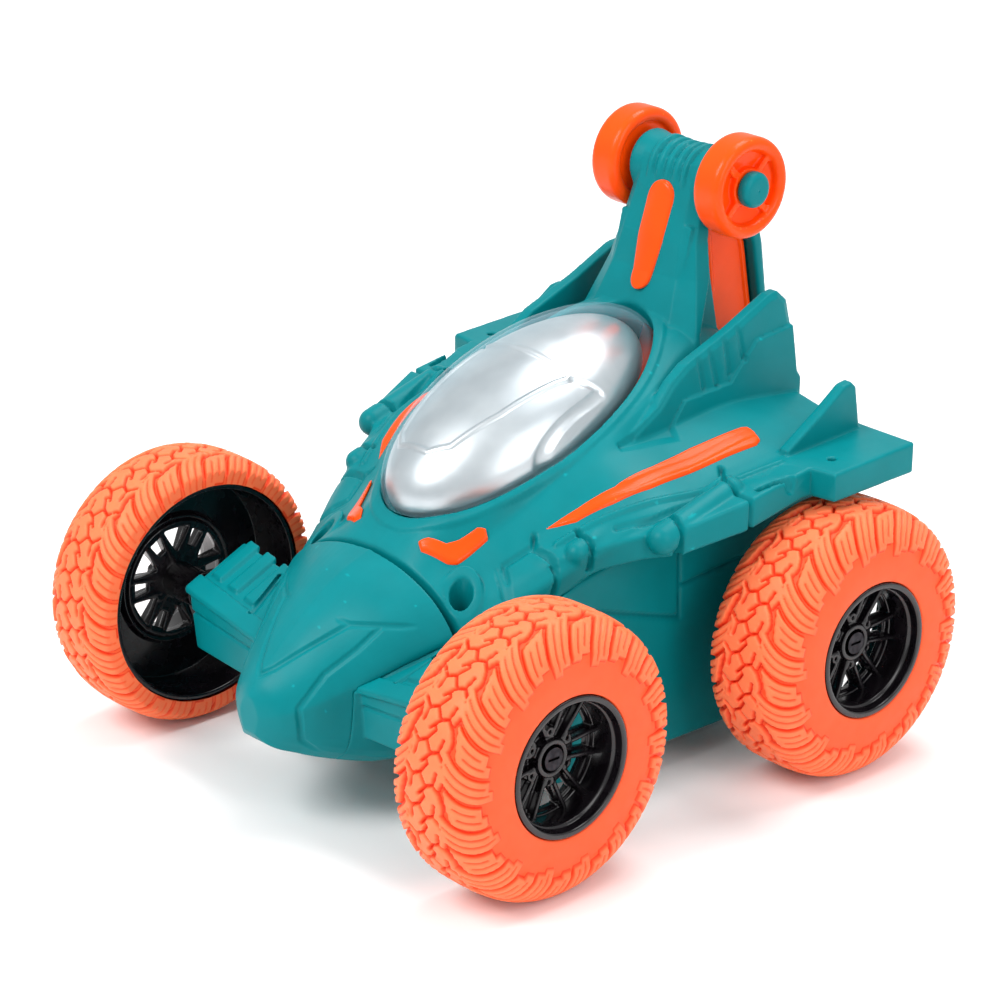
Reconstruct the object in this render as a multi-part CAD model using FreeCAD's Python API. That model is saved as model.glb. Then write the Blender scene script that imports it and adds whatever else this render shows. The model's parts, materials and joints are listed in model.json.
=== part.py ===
import FreeCAD, Part

import math
import os

# Small radio-controlled stunt car. Millimetres, +Z up, nose toward -Y, the car's left is +X.
# Origin: on the ground, midway between the two axles.

# Driving dimensions -----------------------------------------------------------------------
WHEEL_R = 32.5                 # big wheels, radius
WHEELBASE = 94.0
TRACK_OUT = 73.2               # outer face of a tyre, from the car's middle
TYRE_W = 22.6
TAIL_R = 12.0                  # small wheels on the tail mast
TAIL_W = 8.2
TAIL_IN = 12.7                 # inner face of a tail wheel
TAIL_Y = 56.1
TAIL_Z = 127.4
WALL = 1.8                     # moulded shell thickness
AXLE_R = 1.5                   # steel axles and shafts
RUN = 0.05                     # radial clearance of a running fit
HULL_W = 38.0                  # half width of the hull
FLOOR_Z = 6.0                  # underside of the hull
STEER_Y = -34.0                # vertical steering pivot behind the front axle
GAP_Y = -40.6                  # rear rim of the nose unit
BODY_FRONT = -39.4             # front rim of the main body
GEAR_MODULE = 0.5
PINION_T = 8
IDLER_BIG_T = 28
IDLER_SMALL_T = 10
FINAL_T = 32

FRONT_Y = -WHEELBASE / 2
REAR_Y = WHEELBASE / 2
AXLE_Z = WHEEL_R
TYRE_IN = TRACK_OUT - TYRE_W
RIM_LIP_R = 16.1
RIM_BACK_R = 26.5
HUB_R = 4.4
DISC_X = TRACK_OUT - 10.6      # back of the spoked disc
DISC_T = 2.0
CANOPY_FRONT = (-32.6, 64.3)   # Y and Z of the canopy's front and rear ends
CANOPY_REAR = (41.0, 94.0)
CANOPY_HALF_W = 22.4
CANOPY_RISE = 16.0
BOSS = (23.8, -34.7)           # front case screws
BOSS_R = 3.9
SCREW_HOLE_R = 1.2
NOSE_SCREW = (8.0, -52.0)
NOSE_FLOOR_Z = 14.4            # underside of the nose at its screws
HOUSING_X = (12.0, 45.5)       # front axle housing, from inside the nose to its outer end
BOARD_Z = 44.0                 # underside of the circuit board
REAR_SCREW = (20.0, 50.0)      # floor screws
SWITCH_Y = 26.0                # power switch and charging socket
SWITCH_TRAVEL = 4.0
KNOB_W = 3.0
DOOR = ((-30.0, 30.0), (-19.0, 7.0))
DOOR_SCREW = (24.0, -6.0)
GEAR_X = (30.6, 33.0)          # pinion and large idler gear
FINAL_X = (33.2, 35.6)         # small idler gear and final gear
CASE_X = (29.4, 36.0)          # gearbox
VECTOR = FreeCAD.Vector
X_AXIS = VECTOR(1, 0, 0)
Y_AXIS = VECTOR(0, 1, 0)
Z_AXIS = VECTOR(0, 0, 1)


# Shape helpers ----------------------------------------------------------------------------
def box(x, y, z):
    """Box from (low, high) pairs."""
    size = [high - low for low, high in (x, y, z)]
    return Part.makeBox(size[0], size[1], size[2], VECTOR(x[0], y[0], z[0]))


def rod_x(x, y, z, radius):
    return Part.makeCylinder(radius, x[1] - x[0], VECTOR(x[0], y, z), X_AXIS)


def rod_y(x, y, z, radius):
    return Part.makeCylinder(radius, y[1] - y[0], VECTOR(x, y[0], z), Y_AXIS)


def rod_z(x, y, z, radius):
    return Part.makeCylinder(radius, z[1] - z[0], VECTOR(x, y, z[0]), Z_AXIS)


def face(points):
    return Part.Face(Part.makePolygon(points + [points[0]]))


def plate_x(outline, x):
    """Outline of (y, z) points extruded along X between two values."""
    points = [VECTOR(x[0], y, z) for y, z in outline]
    return face(points).extrude(VECTOR(x[1] - x[0], 0, 0))


def plate_z(outline, z):
    """Outline of (x, y) points extruded along Z between two values."""
    points = [VECTOR(x, y, z[0]) for x, y in outline]
    return face(points).extrude(VECTOR(0, 0, z[1] - z[0]))


def mirrored(shape):
    """The same piece on the car's right side."""
    return shape.mirror(VECTOR(0, 0, 0), X_AXIS)


def both_sides(shape):
    return [shape, mirrored(shape)]


def fuse(shapes):
    """One solid from overlapping or touching ones."""
    whole = shapes[0].fuse(shapes[1:]) if len(shapes) > 1 else shapes[0]
    return whole.removeSplitter()


def turned_about_x(profile, y, z):
    """Profile of (x, radius) points turned about the line along X through (y, z)."""
    points = [VECTOR(x, 0, radius) for x, radius in profile]
    ring = face(points).revolve(VECTOR(0, 0, 0), X_AXIS, 360)
    ring.translate(VECTOR(0, y, z))
    return ring


def loft_y(sections):
    """Solid through symmetric sections: each is (y, half outline of (x, z) from bottom edge to top)."""
    wires = []
    for y, half in sections:
        right = [VECTOR(x, y, z) for x, z in half]
        left = [VECTOR(-x, y, z) for x, z in reversed(half) if x > 0]
        loop = right + left
        wires.append(Part.makePolygon(loop + [loop[0]]))
    return Part.makeLoft(wires, True, True)


def inset(sections, wall, drop):
    """The sections of the hollow inside a loft: in and down by the wall, open below by drop."""
    inner = []
    for y, half in sections:
        low = (half[0][0] - wall, half[0][1] - drop)
        rest = [(max(x - wall, 0), z - wall) for x, z in half[1:]]
        inner.append((y, [low] + rest))
    return inner


# Wheels -----------------------------------------------------------------------------------
def tyre(y):
    """Wide soft tyre that wraps the rim's barrel and closes down to its lip."""
    crown = WHEEL_R - 0.6
    profile = [
        (TYRE_IN, RIM_BACK_R),
        (TYRE_IN, crown - 3.0),
        (TYRE_IN + 2.4, crown - 0.6),
        (TYRE_IN + 6.0, WHEEL_R),
        (TRACK_OUT - 7.0, WHEEL_R),
        (TRACK_OUT - 3.0, crown - 1.4),
        (TRACK_OUT - 0.6, crown - 6.0),
        (TRACK_OUT, crown - 10.0),
        (TRACK_OUT, RIM_LIP_R),
        (TRACK_OUT - 7.2, RIM_LIP_R),
        (TRACK_OUT - 7.2, RIM_BACK_R),
    ]
    return turned_about_x(profile, y, AXLE_Z)


def window(half_angle, r_low, r_high, angle):
    """Tool that opens one window between the spokes."""
    corners = []
    for radius, turn in ((r_low, -half_angle[0]), (r_low, half_angle[0]),
                         (r_high, half_angle[1]), (r_high, -half_angle[1])):
        a = math.radians(angle + turn)
        corners.append(VECTOR(DISC_X - 1, radius * math.cos(a), radius * math.sin(a)))
    return face(corners).extrude(VECTOR(DISC_T + 4, 0, 0))


def rim(y, bore):
    """Deep dished rim: barrel, shoulder, lip tube, spoked disc and hub."""
    lip = 1.5
    profile = [
        (TYRE_IN + 0.4, RIM_BACK_R - 1.3),
        (TYRE_IN + 0.4, RIM_BACK_R),
        (TRACK_OUT - 7.2, RIM_BACK_R),
        (TRACK_OUT - 7.2, RIM_LIP_R),
        (TRACK_OUT, RIM_LIP_R),
        (TRACK_OUT, RIM_LIP_R - lip),
        (DISC_X, RIM_LIP_R - lip),
        (DISC_X, RIM_LIP_R),
        (TRACK_OUT - 8.7, RIM_LIP_R),
        (TRACK_OUT - 8.7, RIM_BACK_R - 1.3),
    ]
    shell = turned_about_x(profile, 0, 0)
    disc = rod_x((DISC_X, DISC_X + DISC_T), 0, 0, RIM_LIP_R - lip)
    hub = rod_x((TYRE_IN + 2.0, DISC_X + DISC_T + 1.2), 0, 0, HUB_R)
    spokes = 6
    for i in range(spokes):
        angle = i * 360 / spokes
        disc = disc.cut(window((9, 7), 8.2, 12.6, angle))
        disc = disc.cut(window((3, 11), 7.0, 13.8, angle + 180 / spokes))
    wheel = fuse([shell, disc, hub])
    wheel = wheel.cut(rod_x((TYRE_IN, TRACK_OUT), 0, 0, bore))
    wheel.translate(VECTOR(0, y, AXLE_Z))
    return wheel


def wheel_screw(y):
    """Pan head screw and shank in the end of an axle, outside the hub."""
    end = DISC_X + DISC_T + 1.2
    head = rod_x((end + 0.2, end + 1.6), y, AXLE_Z, 2.6)
    shank = rod_x((end - 1.0, end + 0.2), y, AXLE_Z, 0.9)
    slot = box((end + 1.0, end + 1.6), (y - 1.6, y + 1.6), (AXLE_Z - 0.3, AXLE_Z + 0.3))
    return fuse([head, shank]).cut(slot)


def axle_end():
    """Where a wheel axle ends, inside the hub screw."""
    return DISC_X + DISC_T + 0.2


def drilled(shaft, y, x):
    """Takes the screw's hole out of a shaft's end."""
    return shaft.cut(rod_x(x, y, AXLE_Z, 0.9))


def tail_wheel():
    """Small dished wheel with a hub and four webs."""
    mid = TAIL_IN + TAIL_W / 2
    profile = [
        (TAIL_IN, TAIL_R - 3.0),
        (TAIL_IN, TAIL_R - 0.7),
        (TAIL_IN + 0.7, TAIL_R),
        (TAIL_IN + TAIL_W - 0.7, TAIL_R),
        (TAIL_IN + TAIL_W, TAIL_R - 0.7),
        (TAIL_IN + TAIL_W, TAIL_R - 3.0),
    ]
    ring = turned_about_x(profile, 0, 0)
    web = rod_x((mid - 1.0, mid + 0.2), 0, 0, TAIL_R - 2.0)
    hub = rod_x((TAIL_IN, TAIL_IN + TAIL_W - 1.2), 0, 0, 3.4)
    ribs = []
    for i in range(4):
        rib = box((mid - 1.0, mid + 2.6), (-0.5, 0.5), (2.5, TAIL_R - 2.5))
        rib.rotate(VECTOR(0, 0, 0), X_AXIS, 45 + 90 * i)
        ribs.append(rib)
    wheel = fuse([ring, web, hub] + ribs)
    wheel = wheel.cut(rod_x((TAIL_IN - 1, TAIL_IN + TAIL_W + 1), 0, 0, AXLE_R + RUN))
    wheel.translate(VECTOR(0, TAIL_Y, TAIL_Z))
    return wheel


def tail_axle():
    reach = TAIL_IN + TAIL_W + 1.0
    return rod_x((-reach, reach), TAIL_Y, TAIL_Z, AXLE_R)


def tail_hub_cap():
    """Cap pressed on the tail axle's end, just outside the wheel's hub."""
    start = TAIL_IN + TAIL_W - 1.0
    cap = rod_x((start, start + 3.0), TAIL_Y, TAIL_Z, 4.2)
    cap = cap.makeFillet(0.5, [edge for edge in cap.Edges if edge.BoundBox.XMin > start + 2.9])
    return cap.cut(rod_x((start - 1, TAIL_IN + TAIL_W + 1.0), TAIL_Y, TAIL_Z, AXLE_R))


# Nose unit --------------------------------------------------------------------------------
def nose_outline(y, half_w, split_z, top_z):
    """Arched upper half section of the nose."""
    rise = top_z - split_z
    arch = [(1.0, 0.0), (0.98, 0.16), (0.82, 0.50), (0.62, 0.74), (0.33, 0.93), (0.0, 1.0)]
    return (y, [(half_w * a, split_z + rise * b) for a, b in arch])


NOSE_SECTIONS = [
    # y, half width, split height, top height, bottom height
    (GAP_Y, 28.4, 44.6, 57.8, 14.6),
    (-50.0, 23.4, 40.2, 54.2, 14.0),
    (-60.0, 17.2, 34.4, 47.6, 16.0),
    (-68.0, 12.2, 30.6, 40.6, 18.8),
    (-73.5, 7.2, 28.4, 35.4, 21.2),
    (-76.4, 2.6, 27.4, 32.0, 23.6),
]


def nose_upper_sections():
    return [nose_outline(y, w, split, top) for y, w, split, top, bottom in NOSE_SECTIONS]


def nose_lower_sections():
    """Keel shaped lower half, listed from its bottom up to the split."""
    sections = []
    for y, w, split, top, bottom in NOSE_SECTIONS:
        flank = bottom + min(4.0, 0.6 * (split - bottom))
        sections.append((y, [(0.62 * w, bottom), (0.92 * w, flank), (w, split), (0, split)]))
    return sections


def nose_screw_boss(x):
    """Post inside the hood that takes a screw from below."""
    return rod_z(x, NOSE_SCREW[1], (NOSE_FLOOR_Z + 2.6, 47.0), 2.6)


def nose_hood():
    outer = loft_y(nose_upper_sections())
    hollow = loft_y([
        nose_outline(y, max(w - WALL, 0.8), split - 0.5, top - WALL)
        for y, w, split, top, bottom in NOSE_SECTIONS[:-1]
    ])
    bosses = [nose_screw_boss(x) for x in (-NOSE_SCREW[0], NOSE_SCREW[0])]
    return fuse([outer.cut(hollow)] + bosses).cut(nose_screws())


def housing_section(x, grow):
    """Side outline of the front axle housing at a distance from the middle; its top slopes like the hood."""
    out = (x - HOUSING_X[0]) / (HOUSING_X[1] - HOUSING_X[0])
    front = -59.8 + 2.8 * out
    top = 34.2 + 3.8 * out
    rear = -42.4 + 2.0 * out
    slope = 0.45
    points = [(front + 2.4 - grow, 22.4 - grow), (front - grow, top + grow),
              (rear + grow, top + slope * (rear - front) + grow), (rear + grow, 24.0 - grow)]
    return Part.makePolygon([VECTOR(x, y, z) for y, z in points + [points[0]]])


def axle_housing():
    """Box that carries the front axle out toward the left wheel, with ribs on its sloping top."""
    shell = Part.makeLoft([housing_section(x, 0.0) for x in HOUSING_X], True, True)
    grown = Part.makeLoft([housing_section(x, 0.8) for x in HOUSING_X], True, True)
    ribs = []
    for x in (28.0, 34.5, 41.0):
        ribs.append(grown.common(box((x, x + 3.4), (-53.6, -30.0), (30.0, 60.0))))
    front_bar = grown.common(box((10.0, 60.0), (-80.0, -53.6), (36.0, 60.0)))
    return fuse([shell, front_bar] + ribs)


def steering_tongue():
    """Flat tongue behind the nose, with the eye of the steering pivot."""
    bar = box((-6.0, 6.0), (GAP_Y - 3.0, STEER_Y), (28.0, 36.0))
    eye = rod_z(0, STEER_Y, (28.0, 36.0), 6.0)
    return fuse([bar, eye])


def nose_lower_hollow(sections):
    """The sections of the room inside the lower half: in by the wall, and up by it along the bottom."""
    inner = []
    for y, half in sections:
        floor = [(max(x - WALL, 0.5), z + WALL) for x, z in half[:2]]
        rim = (max(half[2][0] - WALL, 0.5), half[2][1])
        inner.append((y, floor + [rim, half[3]]))
    return inner


def nose_lower_shell():
    sections = nose_lower_sections()
    outer = loft_y(sections)
    hollow = loft_y(nose_lower_hollow(sections[:-1]))
    back = [(GAP_Y, sections[0][1]), (GAP_Y - WALL, sections[0][1])]
    bulkhead = loft_y(back).common(outer)
    housings = both_sides(axle_housing())
    shell = fuse([outer.cut(hollow), bulkhead] + housings + [steering_tongue()])
    room = loft_y(nose_upper_sections())
    shell = shell.cut(room)
    shell = shell.cut(rod_x((-50, 50), FRONT_Y, AXLE_Z, AXLE_R))
    shell = shell.cut(nose_screws())
    return shell.cut(rod_z(0, STEER_Y, (20, 45), AXLE_R + RUN))


def front_axle():
    reach = axle_end()
    rod = rod_x((-reach, reach), FRONT_Y, AXLE_Z, AXLE_R)
    rod = drilled(rod, FRONT_Y, (reach - 0.8, reach + 1))
    return drilled(rod, FRONT_Y, (-reach - 1, -reach + 0.8))


def nose_screws():
    """Two screws that hold the hood down on the lower shell from below."""
    screws = []
    for x in (-NOSE_SCREW[0], NOSE_SCREW[0]):
        head = rod_z(x, NOSE_SCREW[1], (NOSE_FLOOR_Z - 0.6, NOSE_FLOOR_Z + 0.8), 2.4)
        shank = rod_z(x, NOSE_SCREW[1], (NOSE_FLOOR_Z + 0.8, NOSE_FLOOR_Z + 8.4), 1.0)
        screws.append(fuse([head, shank]))
    return Part.makeCompound(screws)


def steering_pivot_pin():
    return rod_z(0, STEER_Y, (22.0, 42.0), AXLE_R)


# Main body --------------------------------------------------------------------------------
BODY_SECTIONS = [
    # y, then the half outline from the bottom edge up to the ridge
    (BODY_FRONT, [(28.4, 44.0), (28.6, 45.2), (25.8, 48.4), (22.8, 51.0), (17.9, 54.1), (9, 57), (0, 58)]),
    (-31.0, [(31.6, 46.6), (31.9, 50.0), (28.5, 52.4), (24.0, 54.6), (17.5, 58.2), (10.5, 64.6), (0, 65.2)]),
    (-22.0, [(36.0, 50.0), (36.4, 55.0), (33.0, 57.6), (27.0, 59.0), (20.4, 63.6), (17.8, 68.4), (0, 69.5)]),
    (4.0, [(38.0, 60.0), (45.0, 67.0), (37.0, 71.2), (30.0, 75.0), (24.6, 78.2), (20.0, 81.0), (0, 82.0)]),
    (40.0, [(39.0, 65.5), (48.0, 72.0), (39.0, 77.5), (30.0, 83.0), (25.0, 88.5), (20.0, 94.0), (0, 97.0)]),
    (66.0, [(39.0, 67.0), (49.0, 73.0), (39.0, 76.0), (30.0, 79.0), (24.0, 84.5), (18.0, 90.0), (0, 93.0)]),
]


def canopy_placed(shape):
    """Lays a canopy piece, made level about the origin, onto the sloping deck."""
    run = CANOPY_REAR[0] - CANOPY_FRONT[0]
    rise = CANOPY_REAR[1] - CANOPY_FRONT[1]
    shape.rotate(VECTOR(0, 0, 0), X_AXIS, math.degrees(math.atan2(rise, run)))
    shape.translate(VECTOR(0, CANOPY_FRONT[0] + run / 2, CANOPY_FRONT[1] + rise / 2))
    return shape


def canopy_half_length():
    run = CANOPY_REAR[0] - CANOPY_FRONT[0]
    rise = CANOPY_REAR[1] - CANOPY_FRONT[1]
    return math.hypot(run, rise) / 2


def egg(shrink, level):
    """Upper half of an ellipsoid, cut flat at the given level."""
    ball = Part.makeSphere(1.0)
    stretch = FreeCAD.Matrix()
    stretch.scale(CANOPY_HALF_W - shrink, canopy_half_length() - shrink, CANOPY_RISE - shrink)
    solid = ball.transformGeometry(stretch)
    return solid.common(box((-60, 60), (-60, 60), (level, 60)))


def canopy():
    """Clear outer dome."""
    return canopy_placed(egg(0, 0).cut(egg(1.2, -1)))


def cockpit_pod():
    """Bright inner dome under the clear one, with a flat rim that rests in the deck."""
    shell = egg(1.9, -2.4).cut(egg(3.1, -3))
    return canopy_placed(shell)


def canopy_opening():
    ball = Part.makeCylinder(1.0, 60, VECTOR(0, 0, -30), Z_AXIS)
    stretch = FreeCAD.Matrix()
    stretch.scale(CANOPY_HALF_W, canopy_half_length(), 1.0)
    return canopy_placed(ball.transformGeometry(stretch))


def rail(x, start, length, radius):
    """Short round rail along the wing's edge, sloping up to the rear; start is (y, z) of its front end."""
    slope = VECTOR(0, 1.0, 0.3)
    return Part.makeCylinder(radius, length, VECTOR(x, start[0], start[1]), slope)


def wing():
    """Left wing: sloping plate over the rear wheel, with rails along its outer edge."""
    side = [(-20.0, 54.0), (-20.0, 57.5), (-17.0, 59.6), (6.0, 67.0), (20.4, 70.8), (40.0, 74.0),
            (67.4, 75.5), (67.4, 68.0), (38.0, 67.0), (8.0, 61.0)]
    plan = [(30.0, -20.0), (34.6, -18.0), (38.6, -12.0), (46.0, -1.0), (52.4, 5.0), (57.2, 20.6),
            (57.4, 40.0), (64.0, 41.0), (64.0, 67.4), (30.0, 67.4)]
    plate = plate_x(side, (30.0, 64.0)).common(plate_z(plan, (50, 90)))
    small_rail = rail(37.4, (-15.6, 60.4), 14.0, 2.6)
    big_rail = rail(49.2, (-1.5, 63.6), 14.0, 3.1)
    hole = rod_z(57.2, 47.0, (72, 80), 1.0)
    slot = plate_x([(25.0, 70.0), (25.0, 80.0), (34.2, 80.0), (34.2, 71.5)], (55.2, 56.8))
    return fuse([plate, small_rail, big_rail]).cut(hole).cut(slot)


def big_fin():
    outline = [(11.5, 74.0), (13.0, 76.4), (33.8, 93.0), (59.4, 104.5), (62.2, 102.5),
               (65.5, 83.0), (66.0, 76.0), (40.0, 74.0)]
    blade = plate_x(outline, (27.5, 30.5))
    panel = plate_x([(26.0, 78.0), (44.0, 90.0), (52.0, 94.5), (61.0, 96.0), (64.0, 80.0)], (30.5, 31.6))
    return fuse([blade, panel])


def small_fin():
    outline = [(39.9, 72.0), (41.0, 75.3), (52.0, 82.0), (60.3, 87.3), (63.1, 85.8), (65.4, 72.5)]
    return plate_x(outline, (46.4, 49.2))


def mast_sections(grow):
    """Rectangles (z, half width, front y, rear y) up the mast's front cover."""
    levels = [(84.0, 21.0, 30.0, 58.0), (100.0, 15.0, 41.2, 56.5), (114.0, 12.0, 44.6, 54.5),
              (126.0, 11.0, 48.6, 52.0), (131.0, 10.2, 50.6, 53.0)]
    return [(z, w - grow, front + grow, rear + 3 * grow) for z, w, front, rear in levels]


def mast_loft(grow):
    wires = []
    for z, w, front, rear in mast_sections(grow):
        loop = [VECTOR(-w, front, z), VECTOR(w, front, z), VECTOR(w, rear, z), VECTOR(-w, rear, z)]
        wires.append(Part.makePolygon(loop + [loop[0]]))
    return Part.makeLoft(wires, True, True)


def mast_head():
    """Barrel round the tail axle at the top of the mast, waisted in the middle, with ribs over its top."""
    reach = TAIL_IN - 0.5
    profile = [(-reach, 0.0), (-reach, 7.6), (-7.0, 6.6), (0.0, 6.2), (7.0, 6.6), (reach, 7.6), (reach, 0.0)]
    barrel = turned_about_x(profile, TAIL_Y, TAIL_Z)
    ribs = []
    for x in (-6.0, -2.0, 2.0, 6.0):
        ribs.append(rod_x((x - 0.8, x + 0.8), TAIL_Y, TAIL_Z, 7.0))
    return fuse([barrel] + ribs)


def body_outer():
    return loft_y(BODY_SECTIONS)


def screw_boss():
    """Tube that guides a front case screw, open at the top."""
    return rod_z(BOSS[0], BOSS[1], (33.0, 54.0), BOSS_R)


def swing_relief():
    """Room in front of the body for the nose unit's rear rim as it steers."""
    side = 40.0
    back = BODY_FRONT + 1.35
    front = BODY_FRONT - 6.0
    return plate_z([(-side, front), (side, front), (side, back), (0, BODY_FRONT), (-side, back)], (0, 90))


def upper_body_shell():
    """Deck, shoulders, wings, fins and mast cover, moulded in one piece."""
    outer = body_outer()
    hollow = loft_y(inset(BODY_SECTIONS, WALL, 1.0))
    rear_wall = outer.common(box((-60, 60), (66.0 - WALL, 67), (50, 120)))
    bosses = both_sides(screw_boss())
    mast = mast_loft(0).cut(mast_loft(WALL))
    added = both_sides(wing()) + both_sides(big_fin()) + both_sides(small_fin())
    body = outer.cut(hollow).fuse([rear_wall, mast, mast_head()] + added + bosses)
    intruding = hollow.common(box((-60, 60), (-30, 64), (40, 120)))
    body = body.cut(intruding.cut(bosses[0].fuse(bosses[1])))
    body = body.cut(canopy_opening().common(box((-60, 60), (-60, 60), (60, 120))))
    for x in (-BOSS[0], BOSS[0]):
        body = body.cut(rod_z(x, BOSS[1], (37.0, 60.0), BOSS_R - 1.0))
        body = body.cut(rod_z(x, BOSS[1], (30.0, 40.0), SCREW_HOLE_R))
    body = body.cut(arm_room())
    body = body.cut(swing_relief())
    body = body.cut(rod_x((-20, 20), TAIL_Y, TAIL_Z, AXLE_R))
    return largest(body.removeSplitter())


def largest(shape):
    return max(shape.Solids, key=lambda solid: solid.Volume)


ARM_SIDE = [(53.0, 120.4), (62.0, 120.4), (65.5, 110.0), (66.0, 66.0), (44.0, 66.0), (50.0, 84.0),
            (55.5, 100.0)]


def arm_room():
    """Space in the shell that the tail arm passes through."""
    return plate_x(ARM_SIDE, (-9.2, 9.2))


def tail_arm():
    """Bright strut that carries the mast head down to the chassis."""
    return plate_x(ARM_SIDE, (-9.2, 9.2)).cut(plate_x(
        [(57.5, 113.0), (61.0, 113.0), (62.0, 72.0), (54.0, 72.0), (57.5, 95.0)], (-7.4, 7.4)))


def mast_back_plate():
    outline = [(61.5, 132.5), (63.6, 132.0), (69.4, 110.0), (72.0, 92.0), (72.0, 76.0), (66.2, 76.0),
               (65.7, 110.0), (62.2, 120.6)]
    return largest(plate_x(outline, (-12.0, 12.0)).cut(mast_head()).cut(body_outer()))


def hull_block(inset_by):
    """The tub's outline in plan, as high as the car, smaller all round by a wall."""
    plan = [(26.0, -37.6), (33.0, -27.0), (HULL_W, -17.0), (HULL_W, 65.0)]
    half = [(x - inset_by, y + inset_by) for x, y in plan[:3]] + [(HULL_W - inset_by, 65.0 - inset_by)]
    return plate_z(half + [(-x, y) for x, y in reversed(half)], (0, 90))


def hull_profile(wall):
    """The tub's outline from the side: floor, sloping ends and open top."""
    top = 72.0 if wall == 0 else 80.0
    front_top = 48.0 if wall == 0 else 80.0
    side = [(-38.0, 14.0 + wall), (-26.0 + wall / 3, FLOOR_Z + wall), (60.0 - wall / 3, FLOOR_Z + wall),
            (65.0, 14.0 + wall), (65.0, top), (-38.0, front_top)]
    return plate_x(side, (-50, 50))


def hull_supports():
    """Fork for the steering pivot, bosses, posts and axle bosses, moulded with the tub."""
    parts = []
    for z in ((22.0, 27.4), (36.6, 42.0)):
        parts.append(box((-8.0, 8.0), (-36.5, STEER_Y + 7.0), z))
    parts.append(box((-8.0, 8.0), (STEER_Y + 6.4, STEER_Y + 8.2), (FLOOR_Z + 1.0, 42.0)))
    parts += both_sides(rod_x((HULL_W - WALL, TYRE_IN - 0.8), REAR_Y, AXLE_Z, 7.5))
    parts += both_sides(rod_z(BOSS[0], BOSS[1], (FLOOR_Z + 8.0, 33.0), 3.0))
    for y in (-13.0, 15.0):
        parts += both_sides(rod_z(24.0, y, (FLOOR_Z + 1.0, BOARD_Z), 2.2))
    parts += both_sides(rod_z(REAR_SCREW[0], REAR_SCREW[1], (FLOOR_Z + 1.0, 60.0), 3.0))
    return parts


def floor_cut(x, y):
    """Tool that cuts a rectangle of (low, high) pairs through the floor."""
    return box(x, y, (FLOOR_Z - 1, FLOOR_Z + WALL + 1))


def lower_hull():
    """Deep tub that carries the drive, battery and steering pivot."""
    tub = hull_block(0).common(hull_profile(0))
    tub = tub.cut(hull_block(WALL).common(hull_profile(WALL)))
    tub = tub.fuse(hull_supports())
    slot = (SWITCH_TRAVEL + KNOB_W) / 2 + 0.4
    cuts = [
        box((-7.5, 7.5), (-40.0, STEER_Y), (27.4, 36.6)),
        rod_z(0, STEER_Y, (20, 43), AXLE_R),
        rod_x((-60, 60), REAR_Y, AXLE_Z, AXLE_R + RUN + 1.0),
        battery_door_plate(),
        floor_cut((-slot, slot), (SWITCH_Y - 1.3, SWITCH_Y + 1.3)),
        floor_cut((14.0, 21.0), (SWITCH_Y - 3.0, SWITCH_Y + 3.0)),
        body_outer(),
        arm_room(),
        body_screws(),
    ]
    cuts += both_sides(rod_x((30, 60), REAR_Y, AXLE_Z, 3.0))
    cuts += both_sides(rod_z(REAR_SCREW[0], REAR_SCREW[1], (FLOOR_Z - 1, 9.0), 2.6))
    cuts += both_sides(rod_z(REAR_SCREW[0], REAR_SCREW[1], (8.0, 20.0), SCREW_HOLE_R))
    cuts += both_sides(screw_boss())
    for tool in cuts:
        tub = tub.cut(tool)
    return largest(tub.removeSplitter())


# Internals --------------------------------------------------------------------------------
def battery_door_plate():
    return box(DOOR[0], DOOR[1], (FLOOR_Z, FLOOR_Z + WALL))


def battery_door():
    plate = battery_door_plate()
    grips = [box((x, x + 1.4), (-10.0, -2.0), (FLOOR_Z - 0.1, FLOOR_Z + 0.6)) for x in (-24.0, -21.0, -18.0)]
    for grip in grips:
        plate = plate.cut(grip)
    plate = plate.cut(rod_z(24.0, -6.0, (FLOOR_Z - 1, FLOOR_Z + 0.9), 2.3))
    return plate.cut(rod_z(24.0, -6.0, (FLOOR_Z, FLOOR_Z + 4), 1.0))


def battery_door_screw():
    head = rod_z(24.0, -6.0, (FLOOR_Z, FLOOR_Z + 0.9), 2.2)
    shank = rod_z(24.0, -6.0, (FLOOR_Z + 0.9, FLOOR_Z + 4.0), 1.0)
    return fuse([head, shank])


def battery_pack():
    """Rechargeable 14500 cell lying across the car."""
    cell = rod_x((-25.0, 25.0), -6.0, FLOOR_Z + WALL + 7.4 + 4.0, 7.0)
    button = rod_x((25.0, 26.0), -6.0, FLOOR_Z + WALL + 7.4 + 4.0, 2.6)
    return fuse([cell, button])


def circuit_board():
    board = box((-27.0, 27.0), (-16.0, 18.0), (BOARD_Z, BOARD_Z + 1.4))
    chips = [box((-12.0, -4.0), (-6.0, 2.0), (BOARD_Z + 1.4, BOARD_Z + 3.0)),
             box((6.0, 14.0), (-10.0, -5.0), (BOARD_Z + 1.4, BOARD_Z + 3.0)),
             rod_z(18.0, 6.0, (BOARD_Z + 1.4, BOARD_Z + 8.0), 2.5)]
    return fuse([board] + chips)


def canopy_leds():
    """Two light emitting diodes that light the dome, on the circuit board."""
    lamps = []
    for x in (-6.0, 6.0):
        stem = rod_z(x, 12.0, (BOARD_Z + 1.4, BOARD_Z + 12.0), 2.5)
        cap = Part.makeSphere(2.5, VECTOR(x, 12.0, BOARD_Z + 12.0))
        lamps.append(fuse([stem, cap]))
    return Part.makeCompound(lamps)


def power_switch_body():
    room = (SWITCH_TRAVEL + KNOB_W) / 2 + 0.8
    floor = FLOOR_Z + WALL
    shell = box((-room - 1.3, room + 1.3), (SWITCH_Y - 3.0, SWITCH_Y + 3.0), (floor, floor + 5.0))
    return shell.cut(box((-room, room), (SWITCH_Y - 1.6, SWITCH_Y + 1.6), (floor - 1, floor + 3.0)))


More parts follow.
